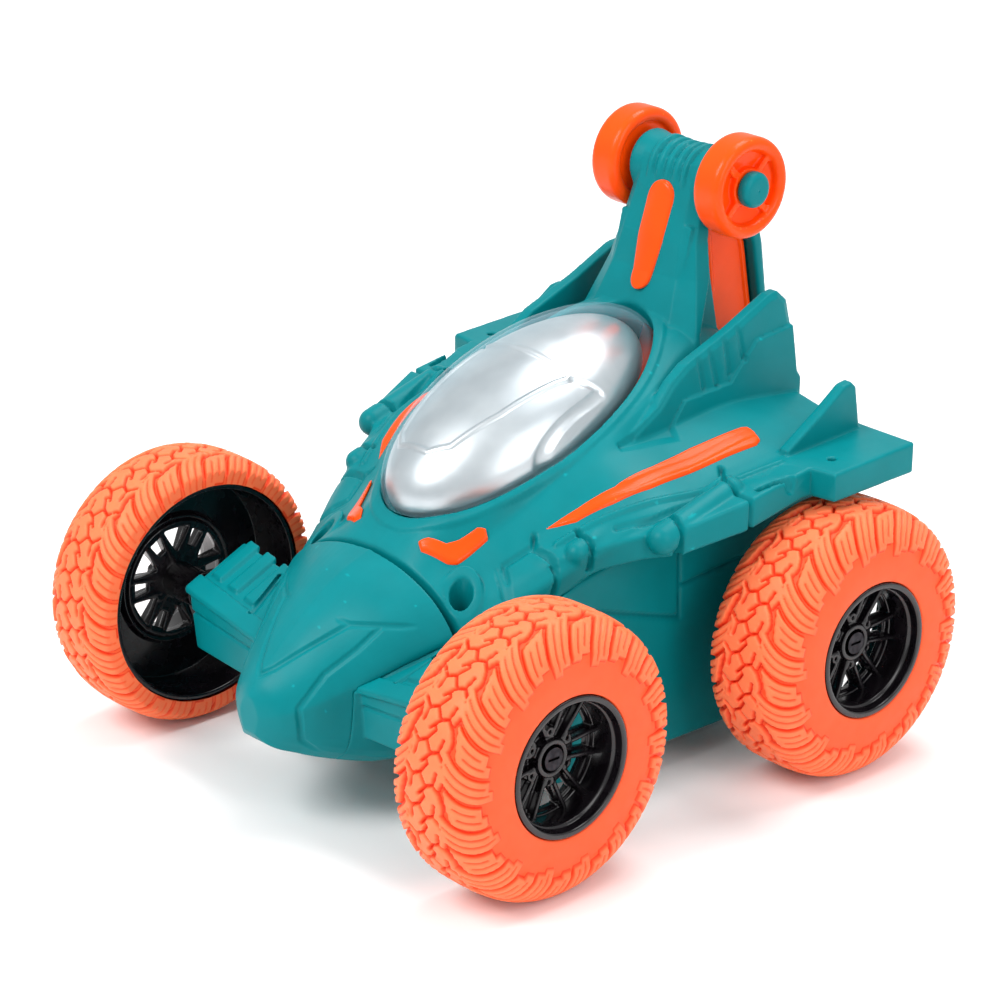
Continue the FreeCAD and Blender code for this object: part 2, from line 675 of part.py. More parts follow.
def power_switch_knob():
    """Sliding knob, shown at the off end of its slot."""
    low = -(SWITCH_TRAVEL + KNOB_W) / 2
    high = low + KNOB_W
    floor = FLOOR_Z + WALL
    stem = box((low, high), (SWITCH_Y - 1.0, SWITCH_Y + 1.0), (FLOOR_Z - 1.2, floor + 1.2))
    foot = box((low - 0.3, high + 0.3), (SWITCH_Y - 1.4, SWITCH_Y + 1.4), (floor + 0.6, floor + 2.4))
    return fuse([stem, foot])


def charging_socket():
    shell = box((13.0, 22.0), (SWITCH_Y - 4.0, SWITCH_Y + 4.0), (FLOOR_Z + WALL, FLOOR_Z + WALL + 6.0))
    return shell.cut(box((14.4, 20.6), (SWITCH_Y - 2.2, SWITCH_Y + 2.2), (FLOOR_Z, FLOOR_Z + WALL + 4.8)))


def idler_place():
    """(y, z) of the idler gear, ahead of and above the wheel shaft."""
    distance = GEAR_MODULE * (IDLER_SMALL_T + FINAL_T) / 2
    lift = math.radians(150)
    return REAR_Y + distance * math.cos(lift), AXLE_Z + distance * math.sin(lift)


def motor_place():
    distance = GEAR_MODULE * (PINION_T + IDLER_BIG_T) / 2
    y, z = idler_place()
    return y - distance, z


def gear(teeth, x, y, z, bore, turn):
    """Spur gear with straight-flanked teeth and room for backlash."""
    pitch = GEAR_MODULE * teeth / 2
    root = pitch - 1.2 * GEAR_MODULE
    tip = pitch + 0.9 * GEAR_MODULE
    step = 360.0 / teeth
    flanks = ((root, -0.31), (tip, -0.13), (tip, 0.13), (root, 0.31))
    points = []
    for i in range(teeth):
        for radius, part in flanks:
            a = math.radians(turn + step * (i + part))
            points.append(VECTOR(x[0], y + radius * math.cos(a), z + radius * math.sin(a)))
    body = face(points).extrude(VECTOR(x[1] - x[0], 0, 0))
    if bore > 0:
        body = body.cut(rod_x((x[0] - 1, x[1] + 1), y, z, bore))
    return body


def motor():
    """Small flat-sided brushed motor with its shaft toward the gears."""
    y, z = motor_place()
    can = rod_x((4.0, 29.0), y, z, 10.0)
    can = can.common(box((0, 40), (y - 10, y + 10), (z - 7.6, z + 7.6)))
    neck = rod_x((29.0, 30.2), y, z, 3.0)
    return fuse([can, neck]).cut(rod_x((20.0, 31.0), y, z, 1.0 + RUN))


def motor_pinion():
    """Pinion pressed on the motor's shaft, with the shaft."""
    y, z = motor_place()
    shaft = rod_x((20.5, GEAR_X[1] + 0.4), y, z, 1.0)
    return fuse([gear(PINION_T, GEAR_X, y, z, 0, 0), shaft])


def idler_gear():
    """Compound gear: large wheel driven by the pinion, small one driving the wheel shaft."""
    y, z = idler_place()
    pin = 1.0 + RUN
    large_turn = 180 + 180.0 / IDLER_BIG_T
    large = gear(IDLER_BIG_T, GEAR_X, y, z, pin, large_turn)
    small = gear(IDLER_SMALL_T, (GEAR_X[1], FINAL_X[1]), y, z, pin, -30)
    return fuse([large, small])


def idler_pin():
    y, z = idler_place()
    return rod_x((CASE_X[0], CASE_X[1]), y, z, 1.0)


def final_gear():
    """Gear pressed on the rear wheel's shaft."""
    turn = 150 + 180.0 / FINAL_T
    return gear(FINAL_T, FINAL_X, REAR_Y, AXLE_Z, AXLE_R, turn)


def gearbox_parts():
    """Case open toward the outside, and the plate that closes it."""
    y, z = idler_place()
    motor_y, motor_z = motor_place()
    wall = 1.2
    span_y = (motor_y - 5.0, REAR_Y + 10.5)
    span_z = (AXLE_Z - 10.5, z + 9.5)
    room_y = (span_y[0] + wall, span_y[1] - wall)
    room_z = (span_z[0] + wall, span_z[1] - wall)
    rim = CASE_X[1] - 0.6
    case = box((CASE_X[0], rim), span_y, span_z)
    case = case.cut(box((CASE_X[0] + 0.9, CASE_X[1]), room_y, room_z))
    case = case.cut(rod_x((20, 40), motor_y, motor_z, 3.1))
    lip = box((rim, CASE_X[1] - 0.3), span_y, (room_z[1], span_z[1]))
    cover = fuse([box((CASE_X[1] - 0.3, CASE_X[1]), span_y, span_z), lip])
    holes = [rod_x((20, 40), REAR_Y, AXLE_Z, AXLE_R + RUN), rod_x((20, 40), y, z, 1.0)]
    for hole in holes:
        case = case.cut(hole)
        cover = cover.cut(hole)
    return case, cover


def rear_shaft():
    rod = rod_x((CASE_X[0] - 1.4, axle_end()), REAR_Y, AXLE_Z, AXLE_R)
    return drilled(rod, REAR_Y, (axle_end() - 0.8, axle_end() + 1))


def rear_bushing():
    """Bearing bush in the hull's axle boss."""
    ring = rod_x((HULL_W + 2.0, TYRE_IN - 0.8), REAR_Y, AXLE_Z, 3.0)
    return ring.cut(rod_x((HULL_W, TYRE_IN), REAR_Y, AXLE_Z, AXLE_R + RUN))


def body_screws():
    """Four case screws: two down the front bosses, two up through the floor."""
    screws = []
    for x in (-BOSS[0], BOSS[0]):
        head = rod_z(x, BOSS[1], (37.0, 39.0), 2.7)
        shank = rod_z(x, BOSS[1], (30.0, 37.0), 1.2)
        screws.append(fuse([head, shank]))
    for x in (-REAR_SCREW[0], REAR_SCREW[0]):
        head = rod_z(x, REAR_SCREW[1], (7.4, 9.0), 2.5)
        shank = rod_z(x, REAR_SCREW[1], (9.0, 20.0), 1.2)
        screws.append(fuse([head, shank]))
    return Part.makeCompound(screws)


# Bright trim ------------------------------------------------------------------------------
def deck_stripe():
    """Long tapered inlay along the left shoulder."""
    plan = [(36.4, -22.0), (40.6, 18.0), (42.4, 40.0), (36.8, 41.0)]
    top = plate_z(plan, (50, 90))
    raised = []
    for y, half in BODY_SECTIONS:
        raised.append((y, [(x, z + 0.6) for x, z in half]))
    return largest(top.common(loft_y(raised)).cut(body_outer()).cut(wing()))


def chevron():
    """Raised check mark on the left of the deck."""
    plan = [(10.6, -35.0), (12.6, -37.0), (19.0, -33.6), (21.8, -22.6), (19.6, -21.2), (16.4, -30.0)]
    raised = []
    for y, half in BODY_SECTIONS:
        raised.append((y, [(x, z + 0.9) for x, z in half]))
    return largest(plate_z(plan, (40, 90)).common(loft_y(raised)).cut(body_outer()))


def mast_front(z):
    """Y of the mast's front face at a height."""
    rows = mast_sections(0)
    for (z0, _, y0, _), (z1, _, y1, _) in zip(rows, rows[1:]):
        if z0 <= z <= z1:
            return y0 + (y1 - y0) * (z - z0) / (z1 - z0)
    return rows[-1][2]


def mast_inlay():
    """Long raised inlay up the front of the mast."""
    heights = (102.0, 114.0, 126.0)
    proud = 0.9
    outline = [(mast_front(z) - proud, z) for z in heights]
    outline += [(mast_front(z) + proud, z) for z in reversed(heights)]
    return largest(plate_x(outline, (-2.8, 2.8)).cut(mast_loft(0)))


# Nodes ------------------------------------------------------------------------------------
def side_nodes(side, place):
    """Nodes that each side of the car has; place puts a left piece on that side."""
    case, cover = gearbox_parts()
    return {
        f"front_{side}_tyre": place(tyre(FRONT_Y)),
        f"front_{side}_rim": place(rim(FRONT_Y, AXLE_R + RUN)),
        f"front_{side}_wheel_screw": place(wheel_screw(FRONT_Y)),
        f"rear_{side}_tyre": place(tyre(REAR_Y)),
        f"rear_{side}_rim": place(rim(REAR_Y, AXLE_R)),
        f"rear_{side}_wheel_screw": place(wheel_screw(REAR_Y)),
        f"rear_{side}_shaft": place(rear_shaft()),
        f"rear_{side}_bushing": place(rear_bushing()),
        f"{side}_final_gear": place(final_gear()),
        f"{side}_idler_gear": place(idler_gear()),
        f"{side}_idler_pin": place(idler_pin()),
        f"{side}_motor": place(motor()),
        f"{side}_motor_pinion": place(motor_pinion()),
        f"{side}_gearbox_case": place(case),
        f"{side}_gearbox_cover": place(cover),
        f"{side}_tail_wheel": place(tail_wheel()),
        f"{side}_tail_hub_cap": place(tail_hub_cap()),
        f"{side}_deck_stripe": place(deck_stripe()),
        f"{side}_chevron": place(chevron()),
    }


def middle_nodes():
    return {
        "nose_hood": nose_hood(),
        "nose_lower_shell": nose_lower_shell(),
        "nose_screws": nose_screws(),
        "front_axle": front_axle(),
        "steering_pivot_pin": steering_pivot_pin(),
        "upper_body_shell": upper_body_shell(),
        "lower_hull": lower_hull(),
        "mast_inlay": mast_inlay(),
        "tail_arm": tail_arm(),
        "mast_back_plate": mast_back_plate(),
        "tail_axle": tail_axle(),
        "canopy": canopy(),
        "cockpit_pod": cockpit_pod(),
        "canopy_leds": canopy_leds(),
        "circuit_board": circuit_board(),
        "battery_pack": battery_pack(),
        "battery_door": battery_door(),
        "battery_door_screw": battery_door_screw(),
        "power_switch_body": power_switch_body(),
        "power_switch_knob": power_switch_knob(),
        "charging_socket": charging_socket(),
        "body_screws": body_screws(),
    }


def main():
    os.makedirs("parts", exist_ok=True)
    nodes = middle_nodes()
    nodes.update(side_nodes("left", lambda shape: shape))
    nodes.update(side_nodes("right", mirrored))
    for name, shape in nodes.items():
        shape.exportStep(f"parts/{name}.step")
        print(f"{name:26s} solids {len(shape.Solids)} valid {shape.isValid()} volume {shape.Volume:.1f}")


main()
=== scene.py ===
import json
import math
import bpy
import numpy as np
from mathutils import Matrix, Vector


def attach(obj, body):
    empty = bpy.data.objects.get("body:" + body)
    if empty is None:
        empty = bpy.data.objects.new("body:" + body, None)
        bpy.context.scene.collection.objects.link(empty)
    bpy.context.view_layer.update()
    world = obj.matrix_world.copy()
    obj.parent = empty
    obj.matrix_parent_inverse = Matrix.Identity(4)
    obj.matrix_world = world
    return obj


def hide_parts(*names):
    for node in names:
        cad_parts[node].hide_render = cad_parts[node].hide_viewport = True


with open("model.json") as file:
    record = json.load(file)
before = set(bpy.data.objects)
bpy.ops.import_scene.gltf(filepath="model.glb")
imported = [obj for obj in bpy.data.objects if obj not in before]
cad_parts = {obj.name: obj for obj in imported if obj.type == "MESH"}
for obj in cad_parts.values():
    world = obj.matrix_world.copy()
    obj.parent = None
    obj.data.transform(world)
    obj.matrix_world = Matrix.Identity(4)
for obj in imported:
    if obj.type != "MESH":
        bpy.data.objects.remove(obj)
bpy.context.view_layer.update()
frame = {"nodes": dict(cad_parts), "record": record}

# Driving dimensions, in mm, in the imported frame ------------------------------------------
MM = 0.001
WHEEL_R = 32.5
AXLE_Z = WHEEL_R
FRONT_Y = -47.0
REAR_Y = 47.0
TRACK_OUT = 73.2               # outer face of the tyres
TYRE_IN = 50.6
RIM_LIP_R = 16.1
RIM_BACK_R = 26.5
DISC_X = TRACK_OUT - 10.6      # back of the spoked disc
DISC_T = 2.0
LUGS = 28                      # side lugs round a tyre
TAIL_Y, TAIL_Z = 56.1, 127.4
TAIL_R = 12.0
TAIL_IN = 12.7
TAIL_W = 8.2
HULL_W = 38.0
FLOOR_Z = 6.0
GAP_Y = -40.6                  # rear rim of the nose unit
BODY_FRONT = -39.4
STEER_Y = -34.0
WALL = 2.0
BOSS = (23.8, -34.7)           # front case screws
BOSS_R = 3.9
CANOPY_FRONT = (-32.6, 64.3)   # Y and Z of the canopy's front and rear ends
CANOPY_REAR = (41.0, 94.0)
CANOPY_HALF_W = 22.4
CANOPY_RISE = 16.0
COARSE = 1.0
AXLES = (("front", FRONT_Y), ("rear", REAR_Y))
SIDES = (("left", 1), ("right", -1))


# Distances ------------------------------------------------------------------------------
# A shape is a distance in mm to its surface, negative inside, sampled on a grid.
def smooth_min(a, b, fillet):
    """Union of two shapes, with a fillet where they meet."""
    near = np.maximum(fillet - np.abs(a - b), 0)
    return np.minimum(a, b) - near * near / (4 * fillet)


def smooth_max(a, b, fillet):
    """What two shapes share, with its edges eased."""
    near = np.maximum(fillet - np.abs(a - b), 0)
    return np.maximum(a, b) + near * near / (4 * fillet)


def slab(v, low, high):
    """Between two values of one coordinate."""
    return np.abs(v - (low + high) / 2) - (high - low) / 2


def block(x, y, z, spans, ease=0.5):
    """Box from three (low, high) pairs."""
    flat = smooth_max(slab(x, *spans[0]), slab(y, *spans[1]), ease)
    return smooth_max(flat, slab(z, *spans[2]), ease)


def edge_distance(u, v, start, end):
    """Squared distance from (u, v) to a straight edge."""
    du, dv = end[0] - start[0], end[1] - start[1]
    length = max(du * du + dv * dv, 1e-9)
    share = np.clip(((u - start[0]) * du + (v - start[1]) * dv) / length, 0, 1)
    return (u - start[0] - share * du) ** 2 + (v - start[1] - share * dv) ** 2


def polygon(u, v, points):
    """Distance to a closed outline in a plane."""
    nearest = np.full(np.broadcast(u, v).shape, 1e6, np.float32)
    inside = np.zeros(nearest.shape, bool)
    for start, end in zip(points, list(points[1:]) + [points[0]]):
        nearest = np.minimum(nearest, edge_distance(u, v, start, end))
        rise = end[1] - start[1]
        if abs(rise) > 1e-9:
            crossing = start[0] + (end[0] - start[0]) * (v - start[1]) / rise
            inside ^= ((start[1] > v) != (end[1] > v)) & (u < crossing)
    reach = np.sqrt(nearest)
    return np.where(inside, -reach, reach)


def polyline(u, v, points):
    """Distance to an open line in a plane."""
    nearest = 1e6
    for start, end in zip(points[:-1], points[1:]):
        nearest = np.minimum(nearest, edge_distance(u, v, start, end))
    return np.sqrt(nearest)


def eased(points, share, rounds=2):
    """An open line with its corners cut, keeping both ends."""
    line = [np.array(p, float) for p in points]
    for _ in range(rounds):
        made = [line[0]]
        for a, b in zip(line[:-1], line[1:]):
            made += [a + (b - a) * share, b + (a - b) * share]
        line = made + [line[-1]]
    return np.array(line)


def along(place, stations, values):
    """Smooth curve through values at stations."""
    slopes = np.gradient(values, stations, axis=0)
    i = int(np.clip(np.searchsorted(stations, place) - 1, 0, len(stations) - 2))
    gap = stations[i + 1] - stations[i]
    t = min(max((place - stations[i]) / gap, 0), 1)
    bend = t * t * (3 - 2 * t)
    ease_in = t * (1 - t) ** 2 * gap
    ease_out = t * t * (1 - t) * gap
    return values[i] * (1 - bend) + values[i + 1] * bend + slopes[i] * ease_in - slopes[i + 1] * ease_out


def loft(x, y, z, sections, share, drop=0.0, cap=1.0):
    """Body through symmetric half outlines (from the bottom edge up to the ridge) at stations along y."""
    stations = np.array([section[0] for section in sections], float)
    outlines = np.array([eased(section[1], share) for section in sections])
    field = np.empty(np.broadcast(x, y, z).shape, np.float32)
    for j, place in enumerate(y[0, :, 0]):
        half = along(float(place), stations, outlines)
        top = (-40.0, half[-1][1])
        low = half[0][1] - drop
        bottom = [(-40.0, low), (half[0][0], low)]
        points = [tuple(p) for p in half] + [top] + bottom
        field[:, j, :] = polygon(np.abs(x[:, 0, :]), z[0], points)
    return smooth_max(field, slab(y, stations[0], stations[-1]), cap)


def capsule(x, y, z, start, end, radius):
    """Round-ended rod between two points."""
    start, end = np.array(start, float), np.array(end, float)
    way = end - start
    share = ((x - start[0]) * way[0] + (y - start[1]) * way[1] + (z - start[2]) * way[2]) / (way @ way)
    share = np.clip(share, 0, 1)
    gaps = (x - start[0] - share * way[0], y - start[1] - share * way[1], z - start[2] - share * way[2])
    return np.sqrt(gaps[0] ** 2 + gaps[1] ** 2 + gaps[2] ** 2) - radius


def upright(x, y, z, place, span, radius, ease=0.5):
    """Vertical rod."""
    return smooth_max(np.hypot(x - place[0], y - place[1]) - radius, slab(z, *span), ease)


def crossways(x, y, z, span, place, radius, ease=0.5):
    """Rod along X through (y, z)."""
    return smooth_max(np.hypot(y - place[0], z - place[1]) - radius, slab(x, *span), ease)


def furrow(distance, width):
    """How deep a line is engraved at a distance from its middle, from 0 to 1."""
    return np.clip(1 - (distance / width) ** 2, 0, 1)


# Clay: a sampled block of space that shapes are added to and cut from ---------------------
CORNERS = np.array([(i, j, k) for i in (0, 1) for j in (0, 1) for k in (0, 1)])
CELL_EDGES = [(a, b) for a in range(8) for b in range(a + 1, 8) if abs(CORNERS[a] - CORNERS[b]).sum() == 1]


class Clay:
    """A grid of distances whose zero level is the surface of the shape."""
    def __init__(self, low, high, step, both_sides=False):
        """With both_sides, only the left half is sampled and the surface is mirrored."""
        self.step = step * COARSE
        self.low = np.array(low, float)
        self.both_sides = both_sides
        if both_sides:
            self.low[0] = -self.step / 2
        counts = np.ceil((np.array(high, float) - self.low) / self.step).astype(int) + 1
        lines = [self.low[i] + self.step * np.arange(counts[i]) for i in range(3)]
        self.x = lines[0].astype(np.float32).reshape(-1, 1, 1)
        self.y = lines[1].astype(np.float32).reshape(1, -1, 1)
        self.z = lines[2].astype(np.float32).reshape(1, 1, -1)
        self.field = np.full(tuple(counts), 50.0, np.float32)

    def region(self, spans, pad):
        """Slices and coordinates of the part of the grid that a box of (low, high) pairs covers."""
        cut = []
        for i, (low, high) in enumerate(spans):
            first = int((low - pad - self.low[i]) / self.step)
            last = int((high + pad - self.low[i]) / self.step) + 2
            cut.append(slice(max(first, 0), max(min(last, self.field.shape[i]), 0)))
        cut = tuple(cut)
        return cut, self.x[cut[0]], self.y[:, cut[1]], self.z[:, :, cut[2]]

    def add(self, shape, spans, fillet=0.6):
        cut, x, y, z = self.region(spans, fillet + 1.0)
        self.field[cut] = smooth_min(self.field[cut], shape(x, y, z), fillet)

    def cut(self, shape, spans, fillet=0.4):
        cut, x, y, z = self.region(spans, fillet + 1.0)
        self.field[cut] = smooth_max(self.field[cut], -shape(x, y, z), fillet)

    def press(self, depth, spans):
        """Moves the surface in by depth(x, y, z) mm, or out where that is negative."""
        cut, x, y, z = self.region(spans, 1.0)
        self.field[cut] += depth(x, y, z).astype(np.float32)

    def surface(self):
        """Points and four-sided faces of the surface where the distance is zero."""
        margin = ((0 if self.both_sides else 1, 1), (1, 1), (1, 1))
        field = np.pad(self.field, margin, constant_values=9.0)
        points, quads = surface_net(field)
        points = self.low + self.step * (points - [m[0] for m in margin])
        if self.both_sides:
            return reflected(points, quads, self.step * 0.49)
        return points, quads


def reflected(points, quads, reach):
    """Adds the mirror image of a half surface, joining the points that lie within reach of the middle."""
    points = points.copy()
    shared = np.abs(points[:, 0]) < reach
    points[shared, 0] = 0
    twin = np.where(shared, np.arange(len(points)), 0)
    twin[~shared] = len(points) + np.arange((~shared).sum())
    image = points[~shared] * (-1, 1, 1)
    return np.concatenate([points, image]), np.concatenate([quads, twin[quads][:, ::-1]])


def surface_net(field):
    """Points and quads of the zero surface: one point in each cell that it crosses."""
    inside = field < 0
    mixed = np.zeros(tuple(n - 1 for n in field.shape), bool)
    near = inside[:-1, :-1, :-1]
    for i, j, k in CORNERS[1:]:
        shifted = inside[i:i + mixed.shape[0], j:j + mixed.shape[1], k:k + mixed.shape[2]]
        mixed |= near != shifted
    cells = np.argwhere(mixed)
    number = np.zeros(mixed.shape, np.int32)
    number[mixed] = np.arange(len(cells))
    values = np.stack([field[tuple((cells + corner).T)] for corner in CORNERS], 1)
    total = np.zeros((len(cells), 3))
    count = np.zeros(len(cells))
    for a, b in CELL_EDGES:
        hit = (values[:, a] < 0) != (values[:, b] < 0)
        share = values[hit, a] / (values[hit, a] - values[hit, b])
        total[hit] += CORNERS[a] + share[:, None] * (CORNERS[b] - CORNERS[a])
        count += hit
    quads = []
    for axis in range(3):
        unit = np.eye(3, dtype=int)
        u, v = unit[(axis + 1) % 3], unit[(axis + 2) % 3]
        first = inside[tuple(slice(0, -1) if i == axis else slice(None) for i in range(3))]
        second = inside[tuple(slice(1, None) if i == axis else slice(None) for i in range(3))]
        at = np.argwhere(first != second)
        at = at[(at[:, (axis + 1) % 3] > 0) & (at[:, (axis + 2) % 3] > 0)]
        ring = [number[tuple(c.T)] for c in (at, at - u, at - u - v, at - v)]
        ring = np.stack(ring, 1)
        outward = inside[tuple(at.T)]
        quads.append(np.where(outward[:, None], ring, ring[:, ::-1]))
    return cells + total / count[:, None], np.concatenate(quads)


# Pieces ---------------------------------------------------------------------------------
MOST_FACES = 190000


def piece(name, shape, slot, body, *nodes):
    """Blender object from points in mm and equal-sided faces, in place of CAD nodes."""
    points, faces = (np.asarray(part) for part in shape)
    mesh = bpy.data.meshes.new(name)
    mesh.vertices.add(len(points))
    mesh.vertices.foreach_set("co", (points.astype(float) * MM).ravel())
    mesh.loops.add(faces.size)
    mesh.loops.foreach_set("vertex_index", faces.astype(np.int32).ravel())
    mesh.polygons.add(len(faces))
    mesh.polygons.foreach_set("loop_start", np.arange(0, faces.size, faces.shape[1], dtype=np.int32))
    mesh.update(calc_edges=True)
    mesh.validate()
    mesh.shade_smooth()
    mesh.materials.append(MATERIALS[slot])
    made = bpy.data.objects.new(name, mesh)
    bpy.context.scene.collection.objects.link(made)
    triangles = len(faces) * (faces.shape[1] - 2)
    if triangles > MOST_FACES:
        thin = made.modifiers.new("thin", "DECIMATE")
        thin.ratio = MOST_FACES / triangles
    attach(made, body)
    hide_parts(*nodes)
    return made


def on_side(shape, turn):
    """The left-hand shape itself where turn is 1, and its mirror image on the right where it is -1."""
    points, faces = (np.asarray(part) for part in shape)
    return (points, faces) if turn > 0 else (points * (-1, 1, 1), faces[:, ::-1])


def grid_faces(rows, columns, closed_rows=False, closed_columns=False):
    """Four-sided faces of a grid of points numbered row by row."""
    i = np.arange(rows if closed_rows else rows - 1)[:, None]
    j = np.arange(columns if closed_columns else columns - 1)[None, :]
    a = i * columns + j
    b = i * columns + (j + 1) % columns
    c = (i + 1) % rows * columns + (j + 1) % columns
    d = (i + 1) % rows * columns + j
    return np.stack([a, b, c, d], -1).reshape(-1, 4)


def turned(profile, count, centre):
    """Closed profile of (x, radius) points turned about the line along X through centre."""
    profile = np.asarray(profile, float)
    angle = 2 * np.pi * np.arange(count) / count
    points = np.empty((count, len(profile), 3))
    points[..., 0] = profile[:, 0]
    points[..., 1] = centre[0] + profile[:, 1] * np.cos(angle)[:, None]
    points[..., 2] = centre[1] + profile[:, 1] * np.sin(angle)[:, None]
    return points.reshape(-1, 3), grid_faces(count, len(profile), True, True)


def rounded_loop(points, radius, corner_steps=4):
    """Closed outline with each corner rounded by about a radius."""
    made = []
    count = len(points)
    for i in range(count):
        before, here, after = (np.array(points[(i + k) % count], float) for k in (-1, 0, 1))
        reach_in = min(radius, 0.45 * np.linalg.norm(before - here))
        reach_out = min(radius, 0.45 * np.linalg.norm(after - here))
        start = here + (before - here) / np.linalg.norm(before - here) * reach_in
        end = here + (after - here) / np.linalg.norm(after - here) * reach_out
        for t in np.linspace(0, 1, corner_steps):
            made.append((1 - t) ** 2 * start + 2 * t * (1 - t) * here + t * t * end)
    return np.array(made)


# Materials ------------------------------------------------------------------------------
def linear(red, green, blue):
    """Shader colour from a 0 to 255 screen colour."""
    shades = []
    for shade in (red, green, blue):
        v = shade / 255
        shades.append(v / 12.92 if v <= 0.04045 else ((v + 0.055) / 1.055) ** 2.4)
    return (shades[0], shades[1], shades[2], 1.0)


class Finish:
    """A node material built round one Principled shader."""
    def __init__(self, name):
        self.material = bpy.data.materials.new(name)
        self.material.use_nodes = True
        self.nodes = self.material.node_tree.nodes
        self.links = self.material.node_tree.links
        self.shader = self.nodes["Principled BSDF"]
        self.place = self.nodes.new("ShaderNodeTexCoord").outputs["Object"]

    def set(self, **values):
        for name, value in values.items():
            self.shader.inputs[name.replace("_", " ")].default_value = value
        return self

    def noise(self, size_mm, detail=3.0):
        """Noise whose blotches are about the given size."""
        node = self.nodes.new("ShaderNodeTexNoise")
        node.inputs["Scale"].default_value = 1 / (size_mm * MM)
        node.inputs["Detail"].default_value = detail
        self.links.new(self.place, node.inputs["Vector"])
        return node.outputs["Fac"]

    def ramp(self, source, stops):
        """Colour or value ramp; stops are (position, colour)."""
        node = self.nodes.new("ShaderNodeValToRGB")
        for i, (position, color) in enumerate(stops):
            stop = node.color_ramp.elements[i] if i < 2 else node.color_ramp.elements.new(position)
            stop.position = position
            stop.color = color
        self.links.new(source, node.inputs["Fac"])
        return node.outputs["Color"]

    def feed(self, source, name):
        self.links.new(source, self.shader.inputs[name])
        return self

    def grain(self, size_mm, height_mm, strength=1.0):
        """Fine bumps on the surface."""
        bump = self.nodes.new("ShaderNodeBump")
        bump.inputs["Distance"].default_value = height_mm * MM
        bump.inputs["Strength"].default_value = strength
        self.links.new(self.noise(size_mm), bump.inputs["Height"])
        self.links.new(bump.outputs["Normal"], self.shader.inputs["Normal"])
        return self

    def edge_highlight_and_groove_shade(self, base, edge, groove):
        """Base colour with a painted highlight that lightens raised edges and painted shade that darkens
        the grooves.
        """
        shape = self.nodes.new("ShaderNodeNewGeometry").outputs["Pointiness"]
        cloud = self.ramp(self.noise(9.0), [(0.35, (0.96, 0.96, 0.96, 1)), (0.65, (1.04, 1.04, 1.04, 1))])
        # Pointiness picks the places: the groove colour is painted shade, the edge colour a painted
        # highlight.
        tint = self.ramp(shape, [(0.42, groove), (0.485, base), (0.54, base), (0.68, edge)])
        return self.multiply(tint, cloud)

    def multiply(self, tint, cloud):
        mix = self.nodes.new("ShaderNodeMix")
        mix.data_type = "RGBA"
        mix.blend_type = "MULTIPLY"
        mix.inputs["Factor"].default_value = 1.0
        self.links.new(tint, mix.inputs["A"])
        self.links.new(cloud, mix.inputs["B"])
        return self.feed(mix.outputs["Result"], "Base Color")

    def mottled(self, dark, light, size_mm):
        """Base colour that drifts between two shades."""
        return self.feed(self.ramp(self.noise(size_mm), [(0.35, dark), (0.65, light)]), "Base Color")

    def varied_roughness(self, low, high, size_mm):
        stops = [(0.35, (low, low, low, 1)), (0.65, (high, high, high, 1))]
        return self.feed(self.ramp(self.noise(size_mm), stops), "Roughness")


def moulded(name, base, edge, groove, gloss=(0.34, 0.42), coat=0.0):
    """Satin injection-moulded plastic, lightened by a painted highlight (edge) on raised edges and
    darkened by painted shade (groove) in the grooves.
    """
    finish = Finish(name).set(Specular_IOR_Level=0.12, Coat_Weight=coat, Coat_Roughness=0.12)
    finish.edge_highlight_and_groove_shade(linear(*base), linear(*edge), linear(*groove))
    finish.varied_roughness(gloss[0], gloss[1], 6.0)
    return finish.grain(0.5, 0.006, 0.35).material


def soft_vinyl():
    """Coral tyre rubber, with a painted highlight that makes the tops of the lugs paler and painted shade
    that makes the grooves a deeper red.
    """
    finish = Finish("tyre_vinyl").set(Specular_IOR_Level=0.22)
    finish.set(Subsurface_Weight=0.2, Subsurface_Scale=0.001, Subsurface_Radius=(1.0, 0.35, 0.2))
    relief = finish.nodes.new("ShaderNodeAttribute")
    relief.attribute_name = "relief"
    # Ramp by lug height: groove is painted shade low down, wall the rubber's own coral, top a painted
    # highlight on the lug tops.
    groove, wall, top = linear(236, 54, 16), linear(252, 92, 48), linear(255, 124, 78)
    tint = finish.ramp(relief.outputs["Fac"], [(0.0, wall), (0.04, groove), (0.5, wall), (0.95, top)])
    cloud = finish.ramp(finish.noise(3.0), [(0.3, (0.93, 0.93, 0.93, 1)), (0.7, (1.0, 1.0, 1.0, 1))])
    finish.multiply(tint, cloud)
    finish.varied_roughness(0.45, 0.55, 4.0)
    return finish.grain(0.4, 0.01, 0.4).material


def gloss_black():
    finish = Finish("rim_black").set(Coat_Weight=0.35, Coat_Roughness=0.1, Specular_IOR_Level=0.35)
    finish.mottled(linear(9, 6, 10), linear(17, 12, 17), 5.0)
    finish.varied_roughness(0.22, 0.3, 5.0)
    return finish.grain(0.6, 0.004, 0.3).material


def silver():
    finish = Finish("pod_silver").set(Metallic=0.85)
    finish.mottled(linear(194, 200, 204), linear(212, 217, 220), 12.0)
    finish.varied_roughness(0.31, 0.37, 8.0)
    return finish.grain(1.2, 0.004, 0.3).material


def clear_dome():
    """Clear plastic, seen mostly by its reflections and by its bluish edge."""
    finish = Finish("dome_clear").set(Roughness=0.03, Specular_IOR_Level=0.5, IOR=1.46)
    finish.mottled(linear(150, 196, 212), linear(168, 208, 222), 14.0)
    facing = finish.nodes.new("ShaderNodeLayerWeight")
    facing.inputs["Blend"].default_value = 0.35
    stops = [(0.35, (0.03, 0.03, 0.03, 1)), (1.0, (0.34, 0.34, 0.34, 1))]
    finish.feed(finish.ramp(facing.outputs["Facing"], stops), "Alpha")
    return finish.grain(3.0, 0.002, 0.2).material


